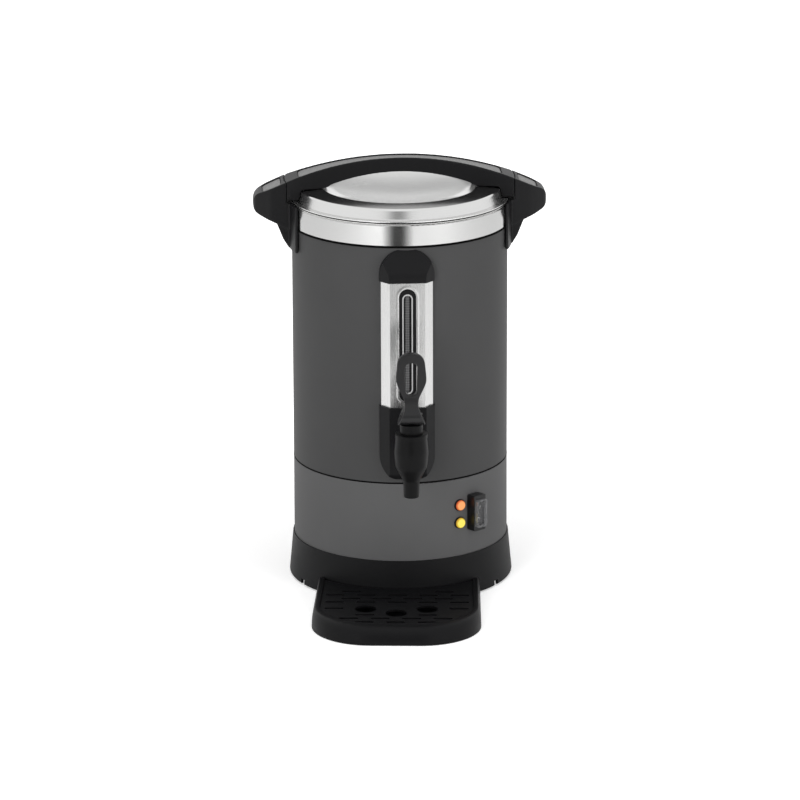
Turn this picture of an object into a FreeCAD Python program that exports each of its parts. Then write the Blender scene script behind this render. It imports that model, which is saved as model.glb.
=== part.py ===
import FreeCAD, Part
import math
import os

import Sketcher

# Filter coffee urn with a double wall, a level gauge over its tap and a drip tray.
# The origin is on the floor, in the urn's axis. The tap looks towards -Y, the carrying
# handles lie along X and Z is up. All sizes are in millimetres and degrees.

doc = FreeCAD.newDocument("coffee_urn")
sheet = doc.addObject("Spreadsheet::Sheet", "dims")

SIZES = {
    # outer shells, from the floor up
    "body_radius": 112.0,
    "shell_wall": 0.9,
    "base_top": 45.3,
    "lower_shell_height": 84.0,
    "upper_shell_height": 252.1,
    "collar_height": 22.6,
    "shell_tuck": 10.0,
    "shell_flange": 8.0,
    "seam_round": 1.6,
    "collar_gap": 0.1,
    "collar_flange": 11.0,
    # foot ring and floor of the base
    "base_flare": 5.5,
    "base_wall": 3.0,
    "lip_wall": 1.1,
    "lip_depth": 6.0,
    "lip_gap": 0.3,
    "ledge_depth": 7.0,
    "foot_proud": 1.5,
    "foot_radius": 8.5,
    "foot_circle": 88.0,
    "foot_turn": 45.0,
    "notch_width": 7.0,
    "notch_height": 5.5,
    "plate_height": 9.0,
    "plate_wall": 1.0,
    "plate_flange": 15.0,
    "plate_screw_in": 8.0,
    "plate_seat": 2.5,
    "screw_fit": 0.1,
    "hole_fit": 0.15,
    "vent_radius": 3.0,
    "vent_circle": 56.0,
    "vent_step": 12.0,
    "foot_plug_radius": 3.0,
    "foot_button_radius": 4.2,
    "foot_button_height": 2.0,
    # water tank
    "tank_gap": 12.0,
    "tank_wall": 0.8,
    "tank_lift": 6.7,
    "tank_corner": 12.0,
    "well_radius": 36.0,
    "well_depth": 5.0,
    "tank_round": 2.0,
    # heating and its sensors
    "heater_outer": 70.0,
    "heater_wall": 4.0,
    "element_circle": 57.0,
    "element_radius": 4.0,
    "element_pin_radius": 2.5,
    "element_pin_length": 16.0,
    "element_pin_spacing": 22.8,
    "stud_circle": 45.0,
    "stud_radius": 2.0,
    "sensor_radius": 10.0,
    "sensor_height": 10.0,
    "sensor_spacing": 30.0,
    "tab_width": 6.3,
    "tab_wall": 0.8,
    "tab_length": 8.0,
    "tab_pitch": 8.0,
    "strap_width": 14.0,
    "strap_wall": 1.5,
    "rod_circle": 80.0,
    "rod_radius": 2.5,
    "nut_height": 3.5,
    "thread_fit": 0.03,
    # lid and its seal
    "seal_wall": 1.4,
    "lid_wall": 1.0,
    "lid_rise": 15.0,
    "lid_flange_width": 7.2,
    "lid_wall_lean": 2.8,
    "lid_annulus": 21.7,
    "dish_depth": 8.0,
    "dish_round": 390.0,
    "plug_depth": 7.0,
    # bar across the lid and the carrying handles
    "seam_beyond": 7.4,
    "seam_gap": 0.4,
    "bar_crown": 45.5,
    "bar_thickness": 14.7,
    "bar_drop": 22.5,
    "bar_under_radius": 220.0,
    "bar_toe": 5.03,
    "bar_waist": 10.5,
    "bar_plan_radius": 796.0,
    "bar_fit": 0.35,
    "bar_edge": 2.5,
    "grip_inset": 14.4,
    "grip_margin": 4.0,
    "grip_depth": 1.2,
    "grip_fit": 0.1,
    "handle_reach": 40.0,
    "handle_half_width": 19.5,
    "handle_slope": 0.43,
    "grip_under_slope": 0.49,
    "ledge_rise": 1.2,
    "grip_end_drop": 8.6,
    "bracket_half_width": 15.0,
    "saddle_half_width": 38.0,
    "saddle_wall": 3.0,
    "saddle_gap": 0.15,
    "bracket_drop": 47.2,
    "screw_radius": 2.0,
    "screw_head": 4.0,
    "screw_head_height": 1.8,
    "handle_screw_below": 4.4,
    "handle_screw_pitch": 10.0,
    "handle_screw_length": 8.0,
    # level gauge
    "gauge_reach": 12.5,
    "gauge_flat": 18.0,
    "gauge_half_width": 26.5,
    "gauge_bevel": 11.0,
    "gauge_wall": 0.8,
    "hood_grow": 1.8,
    "hood_wall": 2.2,
    "hood_fit": 0.1,
    "cap_below_collar": 2.4,
    "cap_height": 33.0,
    "window_half_width": 8.75,
    "window_margin": 6.0,
    "bead_width": 1.3,
    "bead_height": 0.7,
    "scale_wall": 1.0,
    "scale_lap": 3.2,
    "tube_radius": 4.0,
    "tube_wall": 1.0,
    "tube_reach": 5.7,
    "tube_slot": 4.0,
    "tube_slot_margin": 6.0,
    "tube_seal_wall": 1.4,
    "tube_seal_height": 6.0,
    # tap
    "tap_rise": 44.0,
    "tap_reach": 65.0,
    "housing_below": 44.5,
    "housing_above": 34.0,
    "housing_round": 24.0,
    "housing_floor": 12.0,
    "shank_radius": 8.0,
    "shank_bore": 5.0,
    "shank_inside": 14.0,
    "shank_fit": 0.15,
    "shank_slot_fit": 1.2,
    "socket_radius": 6.3,
    "socket_rise": 26.0,
    "washer_radius": 12.0,
    "washer_wall": 3.0,
    "spout_radius": 17.5,
    "spout_top": 18.0,
    "nozzle_radius": 7.9,
    "nozzle_below": 44.6,
    "chamber_radius": 12.0,
    "seat_bore": 6.0,
    "seat_below": 10.0,
    "boss_radius": 11.0,
    "boss_reach": 34.0,
    "bonnet_radius": 16.5,
    "bonnet_height": 5.0,
    "neck_radius": 11.6,
    "neck_height": 10.2,
    "stem_radius": 3.0,
    "stem_fit": 0.08,
    "stem_beyond": 3.6,
    "cup_radius": 8.5,
    "cup_height": 12.0,
    "cup_fit": 0.05,
    "spring_wire": 0.6,
    "spring_radius": 5.6,
    "spring_turns": 5.0,
    # tap lever
    "lever_fit": 0.3,
    "hub_radius": 9.0,
    "hub_offset": 5.4,
    "lever_height": 73.5,
    "lever_half_width": 15.8,
    "lever_waist": 7.2,
    "lever_skirt": 14.3,
    "lever_wall": 8.0,
    "loop_half_width": 8.0,
    "loop_bottom": 32.0,
    "loop_top": 62.0,
    "lever_slot": 3.4,
    "pin_radius": 1.5,
    # signal lamps and switch
    "lamp_turn": 29.4,
    "lamp_high": 29.1,
    "lamp_pitch": 19.1,
    "lamp_radius": 6.3,
    "lamp_barrel": 4.9,
    "lamp_depth": 16.0,
    "lamp_brim": 1.8,
    "lens_radius": 4.2,
    "lens_head": 5.4,
    "lens_proud": 4.4,
    "lens_round": 2.2,
    "switch_turn": 38.5,
    "switch_below": 38.7,
    "switch_width": 16.0,
    "switch_height": 38.0,
    "switch_proud": 10.5,
    "switch_barrel_width": 13.6,
    "switch_barrel_height": 33.0,
    "switch_depth": 20.0,
    "switch_mouth_width": 11.2,
    "switch_mouth_height": 27.0,
    "rocker_angle": 9.0,
    "rocker_axle": 1.5,
    "rocker_sunk": 4.2,
    "rocker_ridge": 5.0,
    "rocker_ridge_half": 4.0,
    "rocker_side_fit": 0.25,
    "rocker_end_fit": 0.9,
    "boot_width": 13.6,
    "boot_height": 29.0,
    "boot_proud": 4.0,
    "boot_wall": 0.8,
    # lead inlet
    "gland_high": 30.0,
    "gland_radius": 8.0,
    "gland_flange": 11.0,
    "gland_bore": 3.75,
    "gland_inside": 12.0,
    "gland_nose": 18.0,
    "block_length": 34.0,
    "block_width": 18.0,
    "block_height": 14.0,
    "block_behind": 14.0,
    "wire_bore": 2.2,
    "wire_pitch": 11.0,
    # percolator set
    "foot_bell_radius": 31.0,
    "riser_radius": 5.0,
    "riser_wall": 0.8,
    "riser_below_rim": 16.0,
    "basket_radius": 70.0,
    "basket_depth": 68.0,
    "basket_wall": 0.8,
    "basket_below_rim": 36.0,
    "cover_rise": 3.0,
    "hub_fit": 0.3,
    # drip tray and grille
    "tray_turn": 5.0,
    "tray_front": 132.5,
    "tray_slope": 15.0,
    "tray_half_width": 88.0,
    "tray_taper": 3.5,
    "tray_corner": 62.0,
    "tray_height": 18.5,
    "tray_lift": 0.6,
    "tray_gap": 0.5,
    "tray_rim": 4.5,
    "tray_floor": 2.0,
    "grille_drop": 1.3,
    "grille_wall": 2.2,
    "grille_fit": 0.4,
    "grille_ledge": 4.0,
    "tongue_half_width": 38.0,
    "tongue_height": 4.0,
    "slot_length": 20.0,
    "slot_width": 4.0,
    "slot_pitch": 32.0,
    "row_pitch": 11.2,
    "first_row": 10.5,
    "cup_hole_radius": 11.0,
    "cup_hole_pitch": 31.5,
}


class Size:
    """A number together with the sheet formula that gives it."""

    def __init__(self, number, formula=None):
        self.number = float(number)
        self.formula = formula or repr(float(number))

    def __add__(self, other):
        other = as_size(other)
        return Size(self.number + other.number, f"({self.formula} + {other.formula})")

    def __sub__(self, other):
        other = as_size(other)
        return Size(self.number - other.number, f"({self.formula} - {other.formula})")

    def __mul__(self, other):
        other = as_size(other)
        return Size(self.number * other.number, f"{self.formula} * {other.formula}")

    def __truediv__(self, other):
        other = as_size(other)
        return Size(self.number / other.number, f"({self.formula} / ({other.formula}))")

    def __neg__(self):
        return Size(-self.number, f"(0 - {self.formula})")

    __radd__ = __add__
    __rmul__ = __mul__

    def __rsub__(self, other):
        return as_size(other) - self

    def __rtruediv__(self, other):
        return as_size(other) / self


def as_size(value):
    return value if isinstance(value, Size) else Size(value)


def root(value):
    return Size(math.sqrt(value.number), f"sqrt({value.formula})")


def turned_x(x, y, angle):
    """The x of a point that is turned about the urn's axis."""
    x, y = as_size(x), as_size(y)
    radians = math.radians(angle.number)
    number = x.number * math.cos(radians) - y.number * math.sin(radians)
    return Size(number, f"({x.formula} * cos({angle.formula}) - {y.formula} * sin({angle.formula}))")


def turned_y(x, y, angle):
    """The y of a point that is turned about the urn's axis."""
    x, y = as_size(x), as_size(y)
    radians = math.radians(angle.number)
    number = x.number * math.sin(radians) + y.number * math.cos(radians)
    return Size(number, f"({x.formula} * sin({angle.formula}) + {y.formula} * cos({angle.formula}))")


class Dimensions:
    """The sheet's cells by name."""

    def __init__(self, sizes):
        for row, (alias, number) in enumerate(sizes.items(), start=1):
            sheet.set(f"A{row}", alias)
            sheet.set(f"B{row}", str(number))
            sheet.setAlias(f"B{row}", alias)
            setattr(self, alias, Size(number, f"dims.{alias}"))


d = Dimensions(SIZES)
doc.recompute()
nodes = {}


# Sketches, features and placements, each bound to the sheet.

def bind(thing, path, value):
    thing.setExpression(path, as_size(value).formula)


def datum(body, role):
    """One of the body's own origin planes or axes."""
    for feature in body.Origin.OriginFeatures:
        if feature.Role == role:
            return feature
    raise ValueError(f"{body.Label} has no {role}")


def new_body(name, z=0, y=0, turn=None):
    """An empty body, raised by z, moved by y and then turned about the urn's axis."""
    body = doc.addObject("PartDesign::Body", name)
    body.Label = name
    if turn is None:
        bind(body, "Placement.Base.y", y)
    else:
        body.Placement = FreeCAD.Placement(
            FreeCAD.Vector(0, 0, 0), FreeCAD.Rotation(FreeCAD.Vector(0, 0, 1), turn.number))
        bind(body, "Placement.Rotation.Angle", turn)
        bind(body, "Placement.Base.x", turned_x(0, y, turn))
        bind(body, "Placement.Base.y", turned_y(0, y, turn))
    bind(body, "Placement.Base.z", z)
    return body


def new_sketch(body, role, offset=0, turn=None):
    """A sketch on an origin plane, moved along its normal (-Y for the XZ plane); a sketch on
    the XZ plane can be turned about the urn's axis as well."""
    sketch = body.newObject("Sketcher::SketchObject", f"{body.Name}_sketch")
    sketch.AttachmentSupport = [(datum(body, role), "")]
    sketch.MapMode = "FlatFace"
    if turn is not None:
        sketch.AttachmentOffset = FreeCAD.Placement(
            FreeCAD.Vector(0, 0, 0), FreeCAD.Rotation(FreeCAD.Vector(0, 1, 0), turn.number))
        bind(sketch, "AttachmentOffset.Rotation.Angle", turn)
    bind(sketch, "AttachmentOffset.Base.z", offset)
    return sketch


def hold(sketch, kind, geometry, value):
    """A dimension of the sketch that follows the sheet; geometry is (index, point) or (index,)."""
    value = as_size(value)
    index = sketch.addConstraint(Sketcher.Constraint(kind, *geometry, value.number))
    bind(sketch, f"Constraints[{index}]", value)


def hold_point(sketch, index, point, x, y):
    hold(sketch, "DistanceX", (index, point), x)
    hold(sketch, "DistanceY", (index, point), y)


def draw_circle(sketch, x, y, radius):
    x, y, radius = as_size(x), as_size(y), as_size(radius)
    centre = FreeCAD.Vector(x.number, y.number, 0)
    index = sketch.addGeometry(Part.Circle(centre, FreeCAD.Vector(0, 0, 1), radius.number))
    hold_point(sketch, index, 3, x, y)
    hold(sketch, "Radius", (index,), radius)


def corner_plan(corners):
    """Where each straight side meets its corner: entry and exit points, and the arc's centre."""
    points = [FreeCAD.Vector(as_size(c[0]).number, as_size(c[1]).number, 0) for c in corners]
    plan = []
    for index, corner in enumerate(corners):
        here = points[index]
        if len(corner) == 2:
            plan.append((here, here, None, 0.0))
            continue
        before = (points[index - 1] - here).normalize()
        after = (points[(index + 1) % len(points)] - here).normalize()
        radius = as_size(corner[2]).number
        half = before.getAngle(after) / 2
        reach = radius / math.tan(half)
        centre = here + (before + after).normalize() * (radius / math.sin(half))
        plan.append((here + before * reach, here + after * reach, centre, radius))
    return points, plan


def draw_outline(sketch, corners):
    """A closed outline of straight sides; a third value of a corner is its rounding radius."""
    points, plan = corner_plan(corners)
    count = len(corners)
    sides = [sketch.addGeometry(Part.LineSegment(plan[i][1], plan[(i + 1) % count][0]))
             for i in range(count)]
    for index, corner in enumerate(corners):
        before, after = sides[index - 1], sides[index]
        if len(corner) == 2:
            sketch.addConstraint(Sketcher.Constraint("Coincident", before, 2, after, 1))
            hold_point(sketch, after, 1, corner[0], corner[1])
            continue
        entry, leave, centre, radius = plan[index]
        anticlockwise = (entry - centre).cross(leave - centre).z > 0
        first, last = (entry, leave) if anticlockwise else (leave, entry)
        start = math.atan2(first.y - centre.y, first.x - centre.x)
        end = math.atan2(last.y - centre.y, last.x - centre.x)
        if end < start:
            end += 2 * math.pi
        circle = Part.Circle(centre, FreeCAD.Vector(0, 0, 1), radius)
        arc = sketch.addGeometry(Part.ArcOfCircle(circle, start, end))
        entry_end, leave_end = (1, 2) if anticlockwise else (2, 1)
        sketch.addConstraint(Sketcher.Constraint("Tangent", before, 2, arc, entry_end))
        sketch.addConstraint(Sketcher.Constraint("Tangent", arc, leave_end, after, 1))
        hold(sketch, "Radius", (arc,), corner[2])
        tip = sketch.addGeometry(Part.Point(points[index]), True)
        hold_point(sketch, tip, 1, corner[0], corner[1])
        sketch.addConstraint(Sketcher.Constraint("PointOnObject", tip, 1, before))
        sketch.addConstraint(Sketcher.Constraint("PointOnObject", tip, 1, after))


def draw(sketch, loops):
    """Loops are outlines, as lists of corners, or circles, as (x, y, radius)."""
    for loop in loops:
        if isinstance(loop, tuple):
            draw_circle(sketch, *loop)
        else:
            draw_outline(sketch, loop)


def revolve(body, corners, role="XZ_Plane", axis="V_Axis", kind="Revolution"):
    sketch = new_sketch(body, role)
    draw_outline(sketch, corners)
    feature = body.newObject(f"PartDesign::{kind}", f"{body.Name}_{kind.lower()}")
    feature.Profile = sketch
    feature.ReferenceAxis = (sketch, [axis])
    feature.Angle = 360
    return feature


def extrude(body, loops, length, role="XY_Plane", offset=0, turn=None, kind="Pad", both=False, back=False):
    """A pad along the plane's normal, or a pocket; back turns it the other way."""
    sketch = new_sketch(body, role, offset, turn)
    draw(sketch, loops)
    feature = body.newObject(f"PartDesign::{kind}", f"{body.Name}_{kind.lower()}")
    feature.Profile = sketch
    bind(feature, "Length", length)
    if both:
        feature.SideType = "Symmetric"
    feature.Reversed = back != (kind == "Pocket")
    return feature


def cut(body, loops, length, **settings):
    """A pocket that runs along the plane's normal, and has to take something away."""
    doc.recompute()
    before = body.Shape.Volume
    feature = extrude(body, loops, length, kind="Pocket", **settings)
    doc.recompute()
    if not body.Shape.Volume < before - 0.01:
        raise RuntimeError(f"{feature.Name} cuts nothing")
    return feature


def groove(body, corners, **settings):
    """A turned cut, which has to take something away."""
    doc.recompute()
    before = body.Shape.Volume
    feature = revolve(body, corners, kind="Groove", **settings)
    doc.recompute()
    if not body.Shape.Volume < before - 0.01:
        raise RuntimeError(f"{feature.Name} cuts nothing")
    return feature


def around(body, features, count):
    """Repeats features evenly about the body's own Z axis."""
    doc.recompute()
    pattern = body.newObject("PartDesign::PolarPattern", f"{body.Name}_polar")
    pattern.Originals = features
    pattern.Axis = (datum(body, "Z_Axis"), [""])
    pattern.Angle = 360
    pattern.Occurrences = count
    body.Tip = pattern
    return pattern


def repeat_up(body, features, pitch, count=2):
    """Repeats features along the body's own Z axis."""
    doc.recompute()
    pattern = body.newObject("PartDesign::LinearPattern", f"{body.Name}_linear")
    pattern.Originals = features
    pattern.Direction = (datum(body, "Z_Axis"), [""])
    bind(pattern, "Length", pitch * (count - 1))
    pattern.Occurrences = count
    body.Tip = pattern
    return pattern


def soften(body, radius, wanted):
    """Rounds the edges that wanted(edge) picks."""
    doc.recompute()
    base = body.Tip
    names = [f"Edge{i}" for i, edge in enumerate(base.Shape.Edges, start=1) if wanted(edge)]
    fillet = body.newObject("PartDesign::Fillet", f"{body.Name}_fillet")
    fillet.Base = (base, names)
    bind(fillet, "Radius", radius)
    body.Tip = fillet
    doc.recompute()
    return fillet


def keep(name, thing):
    nodes[name] = thing
    return thing


def turned_part(name, corners, **place):
    body = new_body(name, **place)
    revolve(body, corners)
    return keep(name, body)


def level_part(name, corners, **place):
    """A part turned about a level axis that points out of the urn, along -Y before its turn.
    Its corners are (distance from the urn's axis, radius) or have a rounding as well."""
    body = new_body(name, **place)
    revolve(body, [(-as_size(c[0]),) + tuple(c[1:]) for c in corners], role="YZ_Plane", axis="H_Axis")
    return keep(name, body)


def rectangle(x0, y0, x1, y1, radius=None):
    corners = [(x0, y0), (x1, y0), (x1, y1), (x0, y1)]
    return [corner + (radius,) for corner in corners] if radius is not None else corners


def hexagon(across):
    """A nut's outline, with its flats at top and bottom."""
    apothem = across / 2
    tip = across / math.sqrt(3)
    half = tip / 2
    return [(tip, 0), (half, apothem), (-half, apothem), (-tip, 0), (-half, -apothem), (half, -apothem)]


def slot(x, y, length, width, upright=False):
    """An oblong hole with round ends, as four corners rounded a little under half its width."""
    a, b = (width / 2, length / 2) if upright else (length / 2, width / 2)
    return rectangle(x - a, y - b, x + a, y + b, width * 0.49)


# Levels that many pieces share.
seam = d.base_top + d.lower_shell_height
collar_bottom = seam + d.upper_shell_height
rim = collar_bottom + d.collar_height
shell_inner = d.body_radius - d.shell_wall
collar_inner = d.body_radius + d.collar_gap
collar_outer = collar_inner + d.shell_wall
tank_radius = d.body_radius - d.tank_gap
tank_inner = tank_radius - d.tank_wall
tank_bottom = seam + d.tank_lift
well_bottom = tank_bottom - d.well_depth
tank_flange_top = rim + d.tank_wall
tap_level = tank_bottom + d.tap_rise
base_radius = d.body_radius + d.base_flare
plate_top = d.plate_height + d.plate_wall
tray_turn = -d.tray_turn
seam_radius = d.body_radius + d.seam_beyond
bar_top_radius = (seam_radius * seam_radius + d.bar_drop * d.bar_drop) / (2 * d.bar_drop)


def make_base():
    """Foot ring, floor plate, its screws and the rubber feet."""
    ledge = d.base_top - d.lip_depth
    ring_inner = d.body_radius + d.lip_gap + d.lip_wall - d.base_wall
    foot_inner = base_radius - d.base_wall
    flange_top = plate_top + d.plate_seat
    screw_at = d.body_radius - d.plate_screw_in
    body = new_body("base_ring", turn=tray_turn)
    revolve(body, [
        (base_radius, d.foot_proud, 1.5),
        (d.body_radius + d.lip_gap + d.lip_wall, d.base_top, 0.5),
        (d.body_radius + d.lip_gap, d.base_top),
        (d.body_radius + d.lip_gap, ledge),
        (d.body_radius - d.ledge_depth, ledge),
        (d.body_radius - d.ledge_depth, ledge - d.base_wall),
        (ring_inner, ledge - d.base_wall, 1),
        (foot_inner - 2, flange_top, 1),
        (d.body_radius - d.plate_flange, flange_top),
        (d.body_radius - d.plate_flange, plate_top),
        (foot_inner - 1, plate_top),
        (foot_inner, d.foot_proud),
    ])
    notch = cut(body, [rectangle(-d.notch_width / 2, 0, d.notch_width / 2, d.foot_proud + d.notch_height)],
                base_radius + 5, role="XZ_Plane")
    around(body, [notch], 6)
    tongue = d.tongue_half_width + 1
    cut(body, [rectangle(-tongue, 0, tongue, d.tray_lift + d.tray_floor + d.tongue_height + 1)],
        base_radius + 5, role="XZ_Plane")
    screw_hole = cut(body, [(0, screw_at, d.screw_radius + d.screw_fit)], 10, offset=plate_top - 2)
    around(body, [screw_hole], 3)
    keep("base_ring", body)

    foot_x = turned_x(d.foot_circle, 0, d.foot_turn)
    foot_y = turned_y(d.foot_circle, 0, d.foot_turn)
    body = new_body("bottom_plate", turn=tray_turn)
    extrude(body, [(0, 0, foot_inner - 4)], d.plate_wall, offset=d.plate_height)
    holes = [
        (0, screw_at, d.screw_radius + d.hole_fit, 3),
        (foot_x, foot_y, d.foot_plug_radius + d.screw_fit, 4),
        (0, d.vent_circle, d.vent_radius, 16),
        (0, d.vent_circle - d.vent_step, d.vent_radius, 12),
        (0, d.rod_circle, d.rod_radius + d.hole_fit, 3),
    ]
    for x, y, radius, count in holes:
        hole = cut(body, [(x, y, radius)], d.plate_wall + 2, offset=d.plate_height - 1)
        around(body, [hole], count)
    keep("bottom_plate", body)

    body = new_body("bottom_screws", turn=tray_turn)
    low = d.plate_height - d.screw_head_height
    head = extrude(body, [(0, screw_at, d.screw_head)], d.screw_head_height, offset=low)
    shank = extrude(body, [(0, screw_at, d.screw_radius)], 7, offset=d.plate_height)
    around(body, [head, shank], 3)
    keep("bottom_screws", body)

    body = new_body("rubber_feet", turn=tray_turn)
    pad = extrude(body, [(foot_x, foot_y, d.foot_radius)], d.plate_height)
    plug = extrude(body, [(foot_x, foot_y, d.foot_plug_radius)], 2 * d.plate_wall, offset=d.plate_height)
    button = extrude(body, [(foot_x, foot_y, d.foot_button_radius)], d.foot_button_height,
                     offset=plate_top + 0.1)
    around(body, [pad, plug, button], 4)
    keep("rubber_feet", body)


def make_shells():
    """Lower and upper painted shells with their openings, and the steel collar."""
    ledge = d.base_top - d.lip_depth
    flange = d.body_radius - d.shell_flange
    inner_round = d.seam_round - d.shell_wall
    body = turned_part("lower_shell", [
        (d.body_radius, ledge), (d.body_radius, seam, d.seam_round), (flange, seam),
        (flange, seam - d.shell_wall), (shell_inner, seam - d.shell_wall, inner_round),
        (shell_inner, ledge + d.shell_wall), (flange + 2, ledge + d.shell_wall), (flange + 2, ledge)])
    lamp_low = seam - d.lamp_high - d.lamp_pitch
    beyond = d.body_radius + 5
    for height in (lamp_low, lamp_low + d.lamp_pitch):
        cut(body, [(0, height, d.lamp_barrel + d.hole_fit)], beyond, role="XZ_Plane", turn=d.lamp_turn)
    a = d.switch_barrel_width / 2 + d.hole_fit
    b = d.switch_barrel_height / 2 + d.hole_fit
    switch_level = seam - d.switch_below
    cut(body, [rectangle(-a, switch_level - b, a, switch_level + b, 1.5)], beyond,
        role="XZ_Plane", turn=d.switch_turn)
    gland_level = d.base_top + d.gland_high
    cut(body, [(0, gland_level, d.gland_radius + d.screw_fit)], beyond, role="XZ_Plane", back=True)

    body = turned_part("upper_shell", [
        (flange, seam), (d.body_radius, seam, d.seam_round), (d.body_radius, collar_bottom + d.shell_tuck),
        (shell_inner, collar_bottom + d.shell_tuck), (shell_inner, seam + d.shell_wall, inner_round),
        (flange, seam + d.shell_wall)])
    wide = d.shank_radius + d.shank_slot_fit
    high = tap_level + d.socket_rise + d.shank_slot_fit
    cut(body, [rectangle(-wide, tap_level - wide, wide, high, wide / 2)], beyond, role="XZ_Plane")
    for height in handle_screw_levels():
        cut(body, [(0, height, d.screw_radius + d.hole_fit)], 2 * beyond, role="YZ_Plane", both=True)

    turned_part("steel_collar", [
        (collar_inner, collar_bottom), (collar_outer, collar_bottom), (collar_outer, rim, 1.6),
        (collar_outer - d.collar_flange, rim), (collar_outer - d.collar_flange, rim - d.shell_wall),
        (collar_inner, rim - d.shell_wall, 0.7)])


def handle_screw_levels():
    high = collar_bottom - d.handle_screw_below
    return (high, high - d.handle_screw_pitch)


def make_tank():
    """Water tank with its pump well, heating ring, sensors and tie rods."""
    well_inner = d.well_radius - d.tank_wall
    body = turned_part("inner_tank", [
        (0, well_bottom), (d.well_radius, well_bottom, 2), (d.well_radius, tank_bottom, 1),
        (tank_radius, tank_bottom, d.tank_corner), (tank_radius, rim, d.tank_round),
        (collar_outer - 0.4, rim), (collar_outer - 0.4, tank_flange_top, 0.3),
        (tank_inner, tank_flange_top, d.tank_round + d.tank_wall),
        (tank_inner, tank_bottom + d.tank_wall, d.tank_corner - d.tank_wall),
        (well_inner, tank_bottom + d.tank_wall, 1.8), (well_inner, well_bottom + d.tank_wall, 1.2),
        (0, well_bottom + d.tank_wall)])
    cut(body, [(0, tap_level, d.shank_radius + 0.2)], tank_radius + 2, role="XZ_Plane")

    plate_low = tank_bottom - d.heater_wall
    plate_inner = d.well_radius + 2
    turned_part("heater_plate", [
        (plate_inner, plate_low), (d.heater_outer, plate_low), (d.heater_outer, tank_bottom),
        (plate_inner, tank_bottom)])

    ring_level = plate_low - d.element_radius
    ring = doc.addObject("Part::Torus", "heating_ring")
    bind(ring, "Radius1", d.element_circle)
    bind(ring, "Radius2", d.element_radius)
    bind(ring, "Placement.Base.z", ring_level)
    pieces = [ring]
    for index, side in enumerate((-1, 1)):
        pin = doc.addObject("Part::Cylinder", f"heating_pin_{index}")
        bind(pin, "Radius", d.element_pin_radius)
        bind(pin, "Height", d.element_pin_length)
        reach = d.element_pin_spacing / 2
        bind(pin, "Placement.Base.x", reach * side)
        bind(pin, "Placement.Base.y", root(d.element_circle * d.element_circle - reach * reach))
        bind(pin, "Placement.Base.z", ring_level - d.element_pin_length)
        pieces.append(pin)
    element = doc.addObject("Part::MultiFuse", "heating_element")
    element.Shapes = pieces
    keep("heating_element", element)

    strap_top = well_bottom - d.sensor_height
    strap_low = strap_top - d.strap_wall
    tab_at = d.strap_width / 2 + 0.5
    a = d.tab_width / 2
    for name, x in (("thermostat", -d.sensor_spacing / 2), ("thermal_cutout", d.sensor_spacing / 2)):
        body = new_body(name)
        extrude(body, [(x, 0, d.sensor_radius)], d.sensor_height, offset=strap_top)
        extrude(body, [rectangle(x - a, tab_at, x + a, tab_at + d.tab_wall)], d.tab_length,
                offset=strap_top - d.tab_length + 0.5)
        keep(name, body)
    body = new_body("sensor_strap")
    half = d.stud_circle + d.strap_width / 2
    extrude(body, [rectangle(-half, -d.strap_width / 2, half, d.strap_width / 2, 3)], d.strap_wall,
            offset=strap_low)
    bore = d.stud_radius + d.hole_fit
    cut(body, [(-d.stud_circle, 0, bore), (d.stud_circle, 0, bore)], d.strap_wall + 2, offset=strap_low - 1)
    keep("sensor_strap", body)

    body = new_body("strap_studs")
    stud_low = strap_low - d.nut_height - 1
    stud = extrude(body, [(d.stud_circle, 0, d.stud_radius)], plate_low - stud_low, offset=stud_low)
    around(body, [stud], 2)
    keep("strap_studs", body)
    body = new_body("strap_nuts")
    thread = (d.stud_circle, 0, d.stud_radius + d.thread_fit)
    nut_outline = shifted(hexagon(d.stud_radius * 3.5), d.stud_circle, 0)
    nut = extrude(body, [nut_outline, thread], d.nut_height, offset=strap_low - d.nut_height)
    around(body, [nut], 2)
    keep("strap_nuts", body)

    rod_low = d.plate_height - d.nut_height - 1
    body = new_body("tie_rods", turn=tray_turn)
    rod = extrude(body, [(0, d.rod_circle, d.rod_radius)], tank_bottom - rod_low, offset=rod_low)
    around(body, [rod], 3)
    keep("tie_rods", body)
    body = new_body("tie_nuts", turn=tray_turn)
    thread = (0, d.rod_circle, d.rod_radius + d.thread_fit)
    nut_outline = shifted(hexagon(d.rod_radius * 3.5), 0, d.rod_circle)
    nut = extrude(body, [nut_outline, thread], d.nut_height, offset=d.plate_height - d.nut_height)
    around(body, [nut], 3)
    keep("tie_nuts", body)


def shifted(corners, x, y):
    return [(c[0] + x, c[1] + y) + tuple(c[2:]) for c in corners]


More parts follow.
